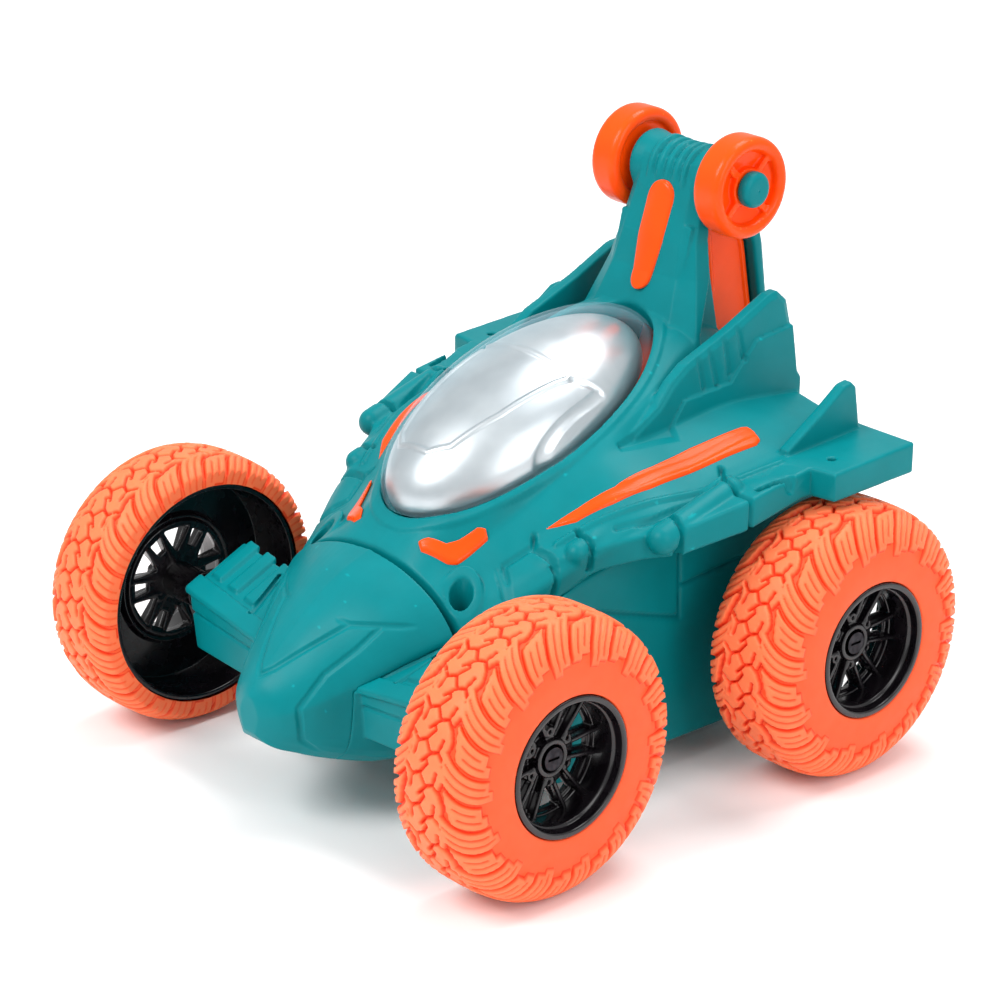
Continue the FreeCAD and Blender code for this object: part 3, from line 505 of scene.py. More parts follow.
def metal(name, dark, light, roughness):
    finish = Finish(name).set(Metallic=1.0)
    finish.mottled(linear(*dark), linear(*light), 1.5)
    finish.varied_roughness(roughness, roughness + 0.1, 1.0)
    return finish.grain(0.2, 0.004, 0.3).material


def plain_plastic(name, dark, light, roughness):
    finish = Finish(name).set(Specular_IOR_Level=0.5)
    finish.mottled(linear(*dark), linear(*light), 2.5)
    finish.varied_roughness(roughness, roughness + 0.08, 3.0)
    return finish.grain(0.4, 0.01, 0.3).material


MATERIALS = {
    # Moulded colours are base, painted edge highlight and painted groove shade.
    "body_plastic": moulded("teal_plastic", (0, 121, 127), (4, 152, 158), (0, 80, 88)),
    "bright_trim": moulded("orange_plastic", (253, 77, 6), (255, 120, 44), (226, 44, 4),
                           gloss=(0.28, 0.34), coat=0.15),
    "soft_tyre": soft_vinyl(),
    "rim_plastic": gloss_black(),
    "silver_pod": silver(),
    "clear_plastic": clear_dome(),
    "steel": metal("steel", (150, 152, 156), (186, 188, 190), 0.28),
    "motor_can": metal("motor_can", (158, 160, 164), (182, 184, 186), 0.34),
    "bronze": metal("bronze", (156, 116, 70), (182, 140, 88), 0.38),
    "gear_plastic": plain_plastic("gear_white", (226, 226, 218), (240, 240, 232), 0.4),
    "gearbox_plastic": plain_plastic("gearbox_black", (22, 22, 24), (32, 32, 34), 0.45),
    "circuit_green": plain_plastic("circuit_green", (14, 84, 46), (24, 110, 62), 0.35),
    "led_lens": plain_plastic("led_lens", (206, 222, 240), (230, 238, 248), 0.1),
    "battery_wrap": plain_plastic("battery_wrap", (30, 62, 128), (42, 80, 150), 0.3),
    "black_plastic": plain_plastic("black_plastic", (20, 20, 22), (30, 30, 33), 0.42),
}
DARK_SCREW = metal("dark_screw", (34, 32, 36), (56, 54, 58), 0.3)


def paint_cad_nodes():
    """Gives every CAD node its slot's material, and the wheel screws a darker one."""
    for row in frame["record"]["subparts"]:
        dark = row["node"].endswith("wheel_screw")
        materials = frame["nodes"][row["node"]].data.materials
        materials.clear()
        materials.append(DARK_SCREW if dark else MATERIALS[row["material_slot"]])


# Tyres ----------------------------------------------------------------------------------
TYRE_MID = (TYRE_IN + TRACK_OUT) / 2
PITCH = 2 * math.pi * WHEEL_R / LUGS
LUG_START = 4.4                # along the surface, from the middle of the tread
LUG_END = 15.8
RELIEF = 1.15                  # height of lugs and knobs


def tyre_profile():
    """(x, radius) down the tyre's skin from its inner rim edge over the tread to the lip."""
    crown = WHEEL_R - RELIEF
    corners = [
        (TYRE_IN, RIM_BACK_R), (TYRE_IN + 0.1, crown - 2.6), (TYRE_IN + 3.0, crown - 0.2),
        (TYRE_IN + 7.5, crown), (TRACK_OUT - 8.5, crown), (TRACK_OUT - 3.6, crown - 1.0),
        (TRACK_OUT - 1.0, crown - 5.4), (TRACK_OUT - 0.1, crown - 9.6), (TRACK_OUT, RIM_LIP_R + 0.6),
        (TRACK_OUT - 0.4, RIM_LIP_R), (TRACK_OUT - 6.0, RIM_LIP_R),
    ]
    line = eased(corners, 0.25, 3)
    steps = np.hypot(*np.diff(line, axis=0).T)
    reach = np.concatenate([[0], np.cumsum(steps)])
    count = int(116 / COARSE)
    at = np.linspace(0, reach[-1], count)
    return np.stack([np.interp(at, reach, line[:, 0]), np.interp(at, reach, line[:, 1])], 1)


def ramp_up(distance, width):
    """0 outside an outline, 1 from a width inside it, smooth between."""
    t = np.clip(-distance / width, 0, 1)
    return t * t * (3 - 2 * t)


def lug_relief(c, s):
    """Height of the side lugs; c runs round the tyre and s is the distance from the tread's middle."""
    sweep = 8.4 * (1 - (1 - np.clip((s - 3.0) / 10.5, 0, 1)) ** 2)
    turn = (c - sweep) / PITCH
    index = np.floor(turn)
    across = (turn - index - 0.5) * PITCH
    end = LUG_END - 1.6 * (index % 2) + 0.6 * np.sign(across)
    start = LUG_START + 1.7 * (index % 2) + 0.25 * across
    border = np.maximum(np.abs(across) - 0.5 * PITCH + 0.42, np.maximum(s - end, start - s))
    body = ramp_up(border, 0.4)
    fingers = furrow(across - 1.1, 0.42) + furrow(across + 1.1, 0.42)
    inner = 0.5 * fingers * ramp_up(border + 1.0 + 0.6 * (index % 2), 0.4)
    return RELIEF * (body - inner) * (1 - 0.3 * np.clip((s - 10.0) / 6.0, 0, 1))


def knob_relief(c, s):
    """Height of the interlocking knobs along the tread's middle, parted by narrow grooves."""
    grooves = [
        [(-3.7, 0.9), (-1.2, -0.9), (1.4, 1.1), (3.7, -0.9)],
        [(-1.2, -0.9), (-0.2, -3.0), (-2.0, -5.0)],
        [(1.4, 1.1), (0.6, 3.0), (2.4, 4.8)],
        [(0.6, 3.0), (-2.2, 3.6)],
        [(-0.2, -3.0), (2.6, -3.4)],
        [(2.6, 0.1), (3.7, 0.9)],
    ]
    local = ((c / PITCH) % 1.0 - 0.5) * PITCH
    depth = np.zeros(np.broadcast(c, s).shape)
    for line in grooves:
        for shift in (-PITCH, 0.0, PITCH):
            depth = np.maximum(depth, furrow(polyline(local - shift, s, line), 0.5))
    reach = 5.2 + 0.5 * np.sin(2 * np.pi * c / PITCH)
    return RELIEF * (1 - depth) * ramp_up(np.abs(s) - reach, 0.5)


def tyre_skin(centre_y):
    """Points and faces of one tread, and the height of its relief at each point."""
    profile = tyre_profile()
    rows = int(LUGS * 30 / COARSE)
    tangent = np.gradient(profile, axis=0)
    normal = np.stack([tangent[:, 1], -tangent[:, 0]], 1)
    normal = -normal / np.linalg.norm(normal, axis=1)[:, None]
    middle = np.argmin(np.abs(profile[:, 0] - TYRE_MID) - (profile[:, 1] > WHEEL_R - 3))
    steps = np.hypot(*np.diff(profile, axis=0).T)
    reach = np.concatenate([[0], np.cumsum(steps)])
    s = (reach - reach[middle])[None, :]
    angle = (2 * np.pi * np.arange(rows) / rows)[:, None]
    c = angle * WHEEL_R
    height = np.maximum(lug_relief(c, np.abs(s)), knob_relief(c, s))
    x = profile[:, 0] + height * normal[:, 0]
    radius = profile[:, 1] + height * normal[:, 1]
    x = np.clip(x, TYRE_IN, TRACK_OUT)
    radius = np.minimum(radius, WHEEL_R)
    points = np.stack([np.broadcast_to(x, height.shape), centre_y + radius * np.cos(angle),
                       AXLE_Z + radius * np.sin(angle)], -1)
    return points.reshape(-1, 3), grid_faces(rows, profile.shape[0], True, False), height.ravel()


def make_tyres():
    for end, centre_y in AXLES:
        points, faces, height = tyre_skin(centre_y)
        for side, turn in SIDES:
            made = piece(f"{end}_{side}_tread", on_side((points, faces), turn), "soft_tyre",
                         f"{end}_{side}_wheel", f"{end}_{side}_tyre")
            # Lug height, which the tyre material turns into painted highlight on the lug tops and painted
            # shade low in the grooves.
            shade = made.data.attributes.new("relief", "FLOAT", "POINT")
            shade.data.foreach_set("value", (height / RELIEF).astype(np.float32))


# Rims -----------------------------------------------------------------------------------
def rim_barrel(centre_y):
    """Deep barrel behind the disc, shoulder and lip, turned about the axle."""
    lip = 1.4
    outline = [
        (TYRE_IN + 0.4, RIM_BACK_R - 1.3), (TYRE_IN + 0.4, RIM_BACK_R), (TRACK_OUT - 7.2, RIM_BACK_R),
        (TRACK_OUT - 7.2, RIM_LIP_R), (TRACK_OUT, RIM_LIP_R), (TRACK_OUT, RIM_LIP_R - lip),
        (TRACK_OUT - 2.2, RIM_LIP_R - lip - 0.3), (TRACK_OUT - 2.5, RIM_LIP_R - lip - 0.9),
        (DISC_X + 1.2, RIM_LIP_R - lip - 1.2), (DISC_X, RIM_LIP_R - 0.6), (TRACK_OUT - 8.7, RIM_LIP_R),
        (TRACK_OUT - 8.7, RIM_BACK_R - 1.3),
    ]
    return turned(rounded_loop(outline, 0.45), int(240 / COARSE), (centre_y, AXLE_Z))


def sector(y, z, count, offset=0.0):
    """Radius and signed sideways distance from the middle of the nearest of several equal sectors."""
    radius = np.hypot(y, z)
    step = 2 * np.pi / count
    angle = (np.arctan2(z, y) - offset + step / 2) % step - step / 2
    return radius * np.cos(angle), radius * np.sin(angle)


def rim_face():
    """Spoked disc about the origin: six double-bar spokes, hub, lug bosses and windows."""
    clay = Clay((DISC_X - 1.5, -15.6, -15.6), (DISC_X + 6.0, 15.6, 15.6), 0.2)
    spans = [(DISC_X - 1, DISC_X + 5.5), (-15.2, 15.2), (-15.2, 15.2)]
    outer = RIM_LIP_R - 2.2

    def plate(x, y, z):
        return smooth_max(slab(x, DISC_X, DISC_X + DISC_T - 0.4), np.hypot(y, z) - outer - 0.4, 0.3)

    def between_pairs(x, y, z):
        out, aside = sector(y, z, 6, math.pi / 6)
        window = polygon(out, aside, [(6.6, 0.0), (12.9, -4.3), (12.9, 4.3)])
        return smooth_max(window + 0.1, slab(x, DISC_X - 2, DISC_X + 6), 0.2)

    def inside_pairs(x, y, z):
        out, aside = sector(y, z, 6)
        window = polygon(out, aside, [(8.6, -0.9), (12.2, -1.5), (12.2, 1.5), (8.6, 0.9)])
        return smooth_max(window - 0.15, slab(x, DISC_X - 2, DISC_X + 6), 0.2)

    def bars(x, y, z):
        out, aside = sector(y, z, 6)
        line = np.sqrt(edge_distance(out, np.abs(aside), (3.6, 1.5), (13.6, 2.7))) - 0.55
        top = DISC_X + DISC_T + 1.3 + 0.05 * out
        return smooth_max(line, slab(x, DISC_X, top), 0.5)

    def hub(x, y, z):
        ring = np.abs(np.hypot(y, z) - 3.75) - 0.65
        return smooth_max(ring, slab(x, DISC_X, DISC_X + DISC_T + 2.6), 0.5)

    def lug_bosses(x, y, z):
        out, aside = sector(y, z, 6, math.pi / 6)
        ring = np.hypot(out - 5.9, aside)
        return smooth_max(np.abs(ring - 0.75) - 0.4, slab(x, DISC_X, DISC_X + DISC_T + 1.6), 0.3)

    def rim_step(x, y, z):
        ring = np.abs(np.hypot(y, z) - outer + 0.2) - 0.45
        return smooth_max(ring, slab(x, DISC_X, DISC_X + DISC_T + 0.9), 0.4)

    clay.add(plate, spans, 0.2)
    clay.cut(between_pairs, spans, 0.3)
    clay.cut(inside_pairs, spans, 0.3)
    for shape in (bars, hub, lug_bosses, rim_step):
        clay.add(shape, spans, 0.5)
    tube = [(TYRE_IN + 2.0, DISC_X + 1.0), (-5, 5), (-5, 5)]
    clay.cut(lambda x, y, z: crossways(x, y, z, (DISC_X - 9, DISC_X + 9), (0, 0), 2.75, 0.1), tube, 0.2)
    return clay.surface()


def hub_tube(centre_y):
    """Tube behind the disc that the axle passes through."""
    outline = [(TYRE_IN + 2.0, 1.6), (TYRE_IN + 2.0, 4.4), (DISC_X + 0.4, 4.4), (DISC_X + 0.4, 1.6)]
    return turned(rounded_loop(outline, 0.4), int(96 / COARSE), (centre_y, AXLE_Z))


def make_rims():
    face_points, face_quads = rim_face()
    for end, centre_y in AXLES:
        shapes = {
            "barrel": rim_barrel(centre_y),
            "disc": (face_points + (0, centre_y, AXLE_Z), face_quads),
            "hub_tube": hub_tube(centre_y),
        }
        for side, turn in SIDES:
            for part, shape in shapes.items():
                piece(f"{end}_{side}_rim_{part}", on_side(shape, turn), "rim_plastic",
                      f"{end}_{side}_wheel", f"{end}_{side}_rim")


# Tail wheels ----------------------------------------------------------------------------
def tail_wheel_clay():
    """Small wheel about its axle: thick rounded ring, dished face, hub collar and four webs."""
    clay = Clay((TAIL_IN - 0.6, -12.6, -12.6), (TAIL_IN + TAIL_W + 0.6, 12.6, 12.6), 0.19)
    spans = [(TAIL_IN, TAIL_IN + TAIL_W), (-12, 12), (-12, 12)]
    mid = TAIL_IN + TAIL_W / 2

    def ring(x, y, z):
        radius = np.hypot(y, z)
        band = smooth_max(radius - TAIL_R, 8.6 - radius, 0.8)
        return smooth_max(band, slab(x, TAIL_IN, TAIL_IN + TAIL_W), 2.2)

    def dish(x, y, z):
        radius = np.hypot(y, z)
        lean = 0.16 * (radius - 3.0)
        return smooth_max(slab(x, mid - 2.4, mid + 0.6 + lean), radius - 9.2, 0.4)

    def webs(x, y, z):
        out, aside = sector(y, z, 4, math.pi / 4)
        bar = smooth_max(np.abs(aside) - 0.75, slab(out, 2.0, 9.0), 0.2)
        return smooth_max(bar, slab(x, mid - 2, mid + 2.7), 0.4)

    def hub(x, y, z):
        return crossways(x, y, z, (TAIL_IN, TAIL_IN + TAIL_W - 1.4), (0, 0), 4.6, 0.6)

    for shape in (ring, dish, webs, hub):
        clay.add(shape, spans, 0.7)
    bore = [(TAIL_IN - 1, TAIL_IN + TAIL_W + 1), (-2, 2), (-2, 2)]
    clay.cut(lambda x, y, z: np.hypot(y, z) - 1.55 + 0 * x, bore, 0.2)
    return clay


def hub_cap():
    """Domed cap on the end of the tail axle."""
    start = TAIL_IN + TAIL_W - 1.0
    outline = [(start, 1.55), (start, 4.2), (start + 2.1, 4.2), (start + 3.0, 3.1), (start + 3.0, 0.02),
               (start + 2.2, 0.02), (start + 2.2, 1.5)]
    return turned(rounded_loop(outline, 0.5), int(96 / COARSE), (TAIL_Y, TAIL_Z))


def make_tail_wheels():
    points, quads = tail_wheel_clay().surface()
    wheel = (points + (0, TAIL_Y, TAIL_Z), quads)
    cap = hub_cap()
    for side, turn in SIDES:
        piece(f"{side}_roller_wheel", on_side(wheel, turn), "bright_trim", f"{side}_tail_roller",
              f"{side}_tail_wheel")
        piece(f"{side}_roller_cap", on_side(cap, turn), "body_plastic", "chassis", f"{side}_tail_hub_cap")


# Nose unit ------------------------------------------------------------------------------
NOSE_STATIONS = [
    # y, half width, split height, top height, bottom height
    (GAP_Y, 28.4, 44.6, 57.8, 14.6),
    (-50.0, 23.4, 40.2, 54.2, 14.0),
    (-60.0, 17.2, 34.4, 47.6, 16.0),
    (-68.0, 12.2, 30.6, 40.6, 18.8),
    (-73.5, 7.2, 28.4, 35.4, 21.2),
    (-76.4, 2.6, 27.4, 32.0, 23.6),
]
HOUSING_IN = 12.0
HOUSING_OUT = 45.5
HOUSING_FACE = -59.8           # front of the housings, where the nose's side ends
HOUSING_LOW = 22.4
HOOD_SLIT = ((25.3, -54.5, 37.8), (28.4, -43.6, 42.8))   # gap between the hood's edge and the housing


def nose_sections():
    """Half outlines of the whole nose, from its keel over the flank to its arched top."""
    arch = [(1.0, 0.0), (0.98, 0.16), (0.82, 0.50), (0.62, 0.74), (0.33, 0.93), (0.0, 1.0)]
    sections = []
    for y, half, split, top, bottom in NOSE_STATIONS:
        flank = bottom + min(4.0, 0.6 * (split - bottom))
        outline = [(0.62 * half, bottom), (0.92 * half, flank)]
        outline += [(half * a, split + (top - split) * b) for a, b in arch]
        sections.append((y, outline))
    return sections


def split_height(y):
    stations = [row[0] for row in reversed(NOSE_STATIONS)]
    heights = [row[2] for row in reversed(NOSE_STATIONS)]
    return np.interp(y, stations, heights)


def nose_skin(x, y, z):
    skin = loft(x, y, z, sorted(nose_sections()), 0.25, cap=0.3)
    return smooth_max(skin, NOSE_STATIONS[-1][0] - y, 3.6)


def line_depth(x, y, z, points, width, seen=(1.0, 1.0, 1.0)):
    """Depth of a line engraved along 3-D points; seen scales the axes that distance is measured on."""
    nearest = 1e6
    x, y, z = x * seen[0], y * seen[1], z * seen[2]
    for start, end in zip(points[:-1], points[1:]):
        rod = capsule(x, y, z, np.multiply(start, seen), np.multiply(end, seen), 0.0)
        nearest = np.minimum(nearest, rod)
    return furrow(nearest, width)


FROM_ABOVE = (1.0, 1.0, 0.2)   # a line that still reaches a surface well above or below its points
FROM_SIDE = (0.2, 1.0, 1.0)    # the same, with the surface off to the side


def nose_lines(x, y, z):
    """Panel lines engraved in the hood: the shield in front and the long line down its flank."""
    shield = [(0.0, -72.2, 36.2), (2.4, -70.3, 38.1), (11.1, -56.0, 47.4), (16.5, -51.8, 47.7),
              (20.2, -48.3, 47.8), (26.6, -43.0, 49.0)]
    side = [(16.7, -52.0, 47.3), (15.1, -57.2, 43.1), (12.2, -63.9, 38.2), (10.5, -70.0, 31.0),
            (10.1, -68.8, 23.1), (12.0, -64.6, 18.6)]
    crown = [(11.1, -56.0, 47.4), (8.4, -57.4, 48.6)]
    depth = np.zeros_like(x * y * z)
    for points in (shield, side, crown):
        depth = np.maximum(depth, line_depth(x, y, z, points, 0.85))
    return 0.7 * depth


def hood_side(x, y, z):
    """Where the hood is, rather than the lower shell: above the split, and all of the nose's front."""
    above = split_height(y) - z + 0 * x
    return np.minimum(above, y - HOUSING_FACE + 0 * x + 0 * z)


def housing_frame(x, y):
    """Share of the way out along the axle housing, and the place of its front and its top there."""
    out = (x - HOUSING_IN) / (HOUSING_OUT - HOUSING_IN)
    front = HOUSING_FACE + 2.8 * out
    return out, front, 34.2 + 3.8 * out + 0.45 * (y - front)


def housing(x, y, z):
    """Axle housing reaching out from the nose, its top sloping up to the rear."""
    out, front, top = housing_frame(x, y)
    shape = smooth_max((z - top) * 0.91, front + 0.13 * (z - HOUSING_LOW) * -1 + 2.2 - y, 0.6)
    shape = smooth_max(shape, np.maximum(front - y, y + 42.4 - 2.0 * out), 0.6)
    shape = smooth_max(shape, HOUSING_LOW + 0.1 * (y - front) - z, 0.8)
    return smooth_max(shape, slab(x, HOUSING_IN - 2, HOUSING_OUT), 0.6)


def housing_relief(x, y, z):
    """Bar along the housing's top front edge, ribs behind it and grooves across the front face."""
    out, front, top = housing_frame(x, y)
    on_top = np.clip((z - top + 1.4) / 0.8, 0, 1)
    bar = np.clip((front + 4.4 - y) / 0.4, 0, 1)
    ribs = np.zeros_like(x * y * z)
    for start in (26.6, 33.2, 39.8):
        ribs = np.maximum(ribs, np.clip((2.1 - np.abs(x - start - 2.1)) / 0.4, 0, 1))
    behind = np.clip((y - front - 5.6) / 0.4, 0, 1)
    raised = np.maximum(bar, ribs * behind) * on_top
    groove = furrow(z - 30.6 - 1.6 * out, 0.6) * np.clip((front + 2.0 - y) / 0.6, 0, 1)
    return 0.5 * groove - 0.75 * raised * (x > 17)


def hood_clay():
    clay = Clay((0, -77.4, 12.8), (29.6, GAP_Y + 0.8, 59.0), 0.27, True)
    clay.field = nose_skin(clay.x, clay.y, clay.z)
    whole = [(0, 29), (-77, GAP_Y + 1), (13, 59)]
    clay.press(nose_lines, whole)
    clay.field = smooth_max(clay.field, hood_side(clay.x, clay.y, clay.z), 0.15)
    room = nose_skin(clay.x, clay.y, clay.z) + WALL
    clay.field = smooth_max(clay.field, -room, 0.4)
    clay.cut(lambda x, y, z: block(x, y, z, ((-6.6, 6.6), (-44.0, -30.0), (27.0, 37.0)), 0.3),
             [(0, 7), (-44, -40), (27, 37)])
    return clay


def lower_nose_clay():
    """Keel, bulkhead, axle housings and the tongue with the steering eye."""
    spread = ((0, -61.4, 12.8), (HOUSING_OUT + 1.6, STEER_Y + 7.0, 54.0), 0.34, True)
    clay = Clay(*spread)
    skin = nose_skin(clay.x, clay.y, clay.z)
    below = clay.z - split_height(clay.y) + 0 * clay.x
    keel = smooth_max(skin, below, 0.2)
    keel = smooth_max(keel, HOUSING_FACE - clay.y + 0 * keel, 0.1)
    hollow = np.maximum(skin + WALL, clay.y - (GAP_Y - WALL) + 0 * skin)
    clay.field = smooth_max(keel, -hollow, 0.3)
    spans = [(HOUSING_IN - 2, HOUSING_OUT), (-61, -40), (20, 54)]
    outside = Clay(*spread)
    outside.field = housing(outside.x, outside.y, outside.z)
    outside.press(housing_relief, spans)
    outside.field = smooth_max(outside.field, -(skin + 0.6), 0.2)
    clay.field = smooth_min(clay.field, outside.field, 0.5)
    clay.cut(lambda x, y, z: np.maximum(skin_room(x, y, z), 0 * x + slab(y, -60.5, -40)), spans, 0.2)
    clay.cut(lambda x, y, z: capsule(x, y, z, *HOOD_SLIT, 0.7),
             [(23, 31), (-56, -42), (35, 45)], 0.2)
    tongue = [(0, 7), (-46, -26), (27, 37)]
    clay.add(lambda x, y, z: block(x, y, z, ((-6, 6), (GAP_Y - 3.0, STEER_Y), (28.0, 36.0)), 0.6), tongue)
    clay.add(lambda x, y, z: upright(x, y, z, (0, STEER_Y), (28.0, 36.0), 6.0, 0.6), tongue)
    pin = [(0, 3), (-37, -31), (20, 40)]
    clay.cut(lambda x, y, z: upright(x, y, z, (0, STEER_Y), (20, 45), 1.56, 0.1), pin, 0.15)
    axle = [(0, 47), (-50, -44), (29, 36)]
    clay.cut(lambda x, y, z: crossways(x, y, z, (-60, 60), (FRONT_Y, AXLE_Z), 1.56, 0.1), axle, 0.15)
    return clay


def skin_room(x, y, z):
    """The upper room of the nose, kept clear of the housings so that the hood can sit there."""
    return np.maximum(nose_skin(x, y, z) - 0.05, split_height(y) - z + 0 * x)


def make_nose():
    piece("hood_skin", hood_clay().surface(), "body_plastic", "front_unit", "nose_hood")
    piece("lower_nose_skin", lower_nose_clay().surface(), "body_plastic", "front_unit", "nose_lower_shell")


# Canopy ---------------------------------------------------------------------------------
CANOPY_RUN = (CANOPY_REAR[0] - CANOPY_FRONT[0], CANOPY_REAR[1] - CANOPY_FRONT[1])
CANOPY_HALF_L = math.hypot(*CANOPY_RUN) / 2
CANOPY_SLOPE = math.atan2(CANOPY_RUN[1], CANOPY_RUN[0])
CANOPY_MID = (CANOPY_FRONT[0] + CANOPY_RUN[0] / 2, CANOPY_FRONT[1] + CANOPY_RUN[1] / 2)


def canopy_frame(y, z):
    """Length along and height above the canopy's own tilted base."""
    dy, dz = y - CANOPY_MID[0], z - CANOPY_MID[1]
    cos, sin = math.cos(CANOPY_SLOPE), math.sin(CANOPY_SLOPE)
    return dy * cos + dz * sin, dz * cos - dy * sin


def canopy_outline(x, y, z, grow):
    """Distance to the elliptical pillar under the canopy."""
    v, _ = canopy_frame(y, z)
    half_w, half_l = CANOPY_HALF_W + grow, CANOPY_HALF_L + grow
    level = np.sqrt((x / half_w) ** 2 + (v / half_l) ** 2)
    return (level - 1) * half_w * half_l / np.hypot(half_w, half_l) * 1.3


def egg_surface(shrink, low, shift=0.0, relief=None):
    """Upper half of the canopy's egg as a grid of points from its rim up to its top."""
    half_w, half_l, rise = (full - less for full, less in
                            zip((CANOPY_HALF_W, CANOPY_HALF_L, CANOPY_RISE), shrink))
    rows = int(180 / COARSE)
    columns = int(400 / COARSE) // 2 * 2
    lift = np.linspace(math.asin(low / rise), math.pi / 2 - 0.004, rows)[:, None]
    turn = (2 * np.pi * np.arange(columns) / columns)[None, :]
    u = np.cos(lift) * np.cos(turn) * half_w
    v = np.cos(lift) * np.sin(turn) * half_l
    w = np.sin(lift) * rise + 0 * turn
    if relief is not None:
        away = np.stack([u / half_w ** 2, v / half_l ** 2, w / rise ** 2])
        away = away / np.linalg.norm(away, axis=0) * relief(u, v + shift)
        u, v, w = u + away[0], v + away[1], w + away[2]
    v = v + shift
    cos, sin = math.cos(CANOPY_SLOPE), math.sin(CANOPY_SLOPE)
    return np.stack([u, CANOPY_MID[0] + v * cos - w * sin, CANOPY_MID[1] + v * sin + w * cos], -1)


def thick_shell(outside, inside):
    """Closed thin shell between two matching grids, open only at the base, where a rim joins them."""
    rows, columns = outside.shape[:2]
    points = np.concatenate([outside.reshape(-1, 3), inside.reshape(-1, 3)])
    outer = grid_faces(rows, columns, False, True)
    inner = outer[:, ::-1] + rows * columns
    j = np.arange(columns)
    k = (j + 1) % columns
    rim = np.stack([j + rows * columns, k + rows * columns, k, j], -1)
    crown = (rows - 1) * columns
    lids = []
    for base, order in ((0, 1), (rows * columns, -1)):
        for i in range(0, columns // 2 - 1):
            a, b = i, i + 1
            c, d = columns - 2 - i, columns - 1 - i
            lids.append([base + crown + m for m in ((a, b, c, d)[::order])])
    return points, np.concatenate([outer, inner, rim, np.array(lids)])


POD_SHRINK = (1.6, 2.8, 1.1)   # how much smaller the pod is than the canopy, across, along and up
POD_SHIFT = -1.6               # its middle lies ahead of the canopy's
POD_LOW = -1.6                 # its rim is below the canopy's
POD_T = 1.0
DOME_T = 0.8
VISOR = [
    (-9.0, -28.0), (4.6, -28.0), (8.6, -24.6), (12.0, -12.2), (13.9, 2.8), (14.6, 6.2), (-9.0, 6.2),
]
POD_PANEL = [
    (14.6, 6.2), (16.6, 8.6), (18.4, 10.0), (18.9, 5.3), (19.2, -4.3), (19.5, -9.2), (19.8, -12.8),
    (20.6, -16.0),
]


def pod_relief(u, v):
    """Recessed visor with its lip, and the side panel lines of the silver pod, in mm outwards."""
    visor = polygon(np.abs(u + 1.2 - 0.05 * v), v, VISOR)
    sunk = -0.45 * ramp_up(visor, 0.7)
    lip = 0.3 * furrow(visor - 0.45, 0.8)
    panel = furrow(polyline(np.abs(u), v, POD_PANEL), 0.8)
    return (sunk + lip) * np.clip((7.6 - v) / 1.4, 0, 1) - 0.5 * panel


def make_canopy():
    dome = thick_shell(egg_surface((0, 0, 0), 0.0), egg_surface((DOME_T, DOME_T, DOME_T), 0.0))
    piece("canopy_dome", dome, "clear_plastic", "chassis", "canopy")
    inner = [less + POD_T for less in POD_SHRINK]
    pod = thick_shell(egg_surface(POD_SHRINK, POD_LOW, POD_SHIFT, pod_relief),
                      egg_surface(inner, POD_LOW, POD_SHIFT))
    piece("silver_pod_shell", pod, "silver_pod", "chassis", "cockpit_pod")


# Main body ------------------------------------------------------------------------------
BODY_STATIONS = [
    # y, then half of the outline there: bottom edge, shoulder, wing, flank and trough,
    # and on the second line the ledge beside the canopy, the crease above it and the ridge
    (BODY_FRONT, [
        (28.4, 44.0), (28.6, 45.2), (25.8, 48.4), (22.8, 51.0), (20.4, 52.6),
        (17.9, 54.1), (9, 57), (0, 58),
    ]),
    (-31.0, [
        (31.6, 46.6), (31.9, 50.0), (28.5, 52.4), (24.0, 54.6), (20.6, 56.4),
        (17.5, 58.2), (10.5, 64.6), (0, 65.2),
    ]),
    (-22.0, [
        (36.0, 50.0), (36.4, 55.0), (33.0, 57.6), (27.0, 59.0), (23.7, 61.3),
        (20.4, 63.6), (17.8, 68.4), (0, 69.5),
    ]),
    (4.0, [
        (38.0, 60.0), (45.0, 67.0), (37.0, 71.2), (32.0, 74.0), (28.2, 76.2),
        (25.0, 78.2), (19.6, 80.9), (0, 82.0),
    ]),
    (22.0, [
        (38.6, 62.6), (46.6, 69.6), (38.0, 74.2), (31.4, 77.2), (27.2, 79.4),
        (23.9, 86.2), (17.8, 88.8), (0, 89.8),
    ]),
    (40.0, [
        (39.0, 65.5), (48.0, 72.0), (39.0, 77.0), (31.0, 79.6), (24.5, 82.0),
        (19.6, 93.0), (13.6, 96.4), (0, 97.4),
    ]),
    (66.0, [
        (39.0, 67.0), (49.0, 73.0), (39.0, 76.0), (31.0, 78.0), (22.0, 79.5),
        (15.0, 84.0), (12.0, 86.0), (0, 87.0),
    ]),
]
WING_SIDE = [
    (-20.0, 54.0), (-20.0, 57.5), (-17.0, 59.6), (6.0, 67.0), (20.4, 70.8), (40.0, 74.0),
    (67.4, 75.5), (67.4, 68.0), (38.0, 67.0), (8.0, 61.0),
]
WING_PLAN = [
    (26.0, -20.0), (34.6, -18.0), (38.6, -12.0), (46.0, -1.0), (52.4, 5.0), (57.2, 20.6),
    (57.4, 40.0), (64.0, 41.0), (64.0, 67.4), (26.0, 67.4),
]
WING_HOLE = (57.2, 47.0)
BIG_FIN = [
    (11.4, 74.5), (13.4, 79.8), (21.4, 84.5), (25.3, 89.0), (29.8, 92.3), (44.5, 98.0),
    (56.3, 103.6), (59.2, 104.0), (62.4, 101.2), (64.0, 95.4), (66.1, 83.4), (67.4, 81.6),
    (67.4, 72.0), (44.0, 71.0),
]
SMALL_FIN = [
    (39.9, 70.0), (41.0, 75.3), (52.0, 82.0), (59.0, 86.8), (61.6, 87.2), (63.1, 85.8),
    (65.4, 72.5),
]
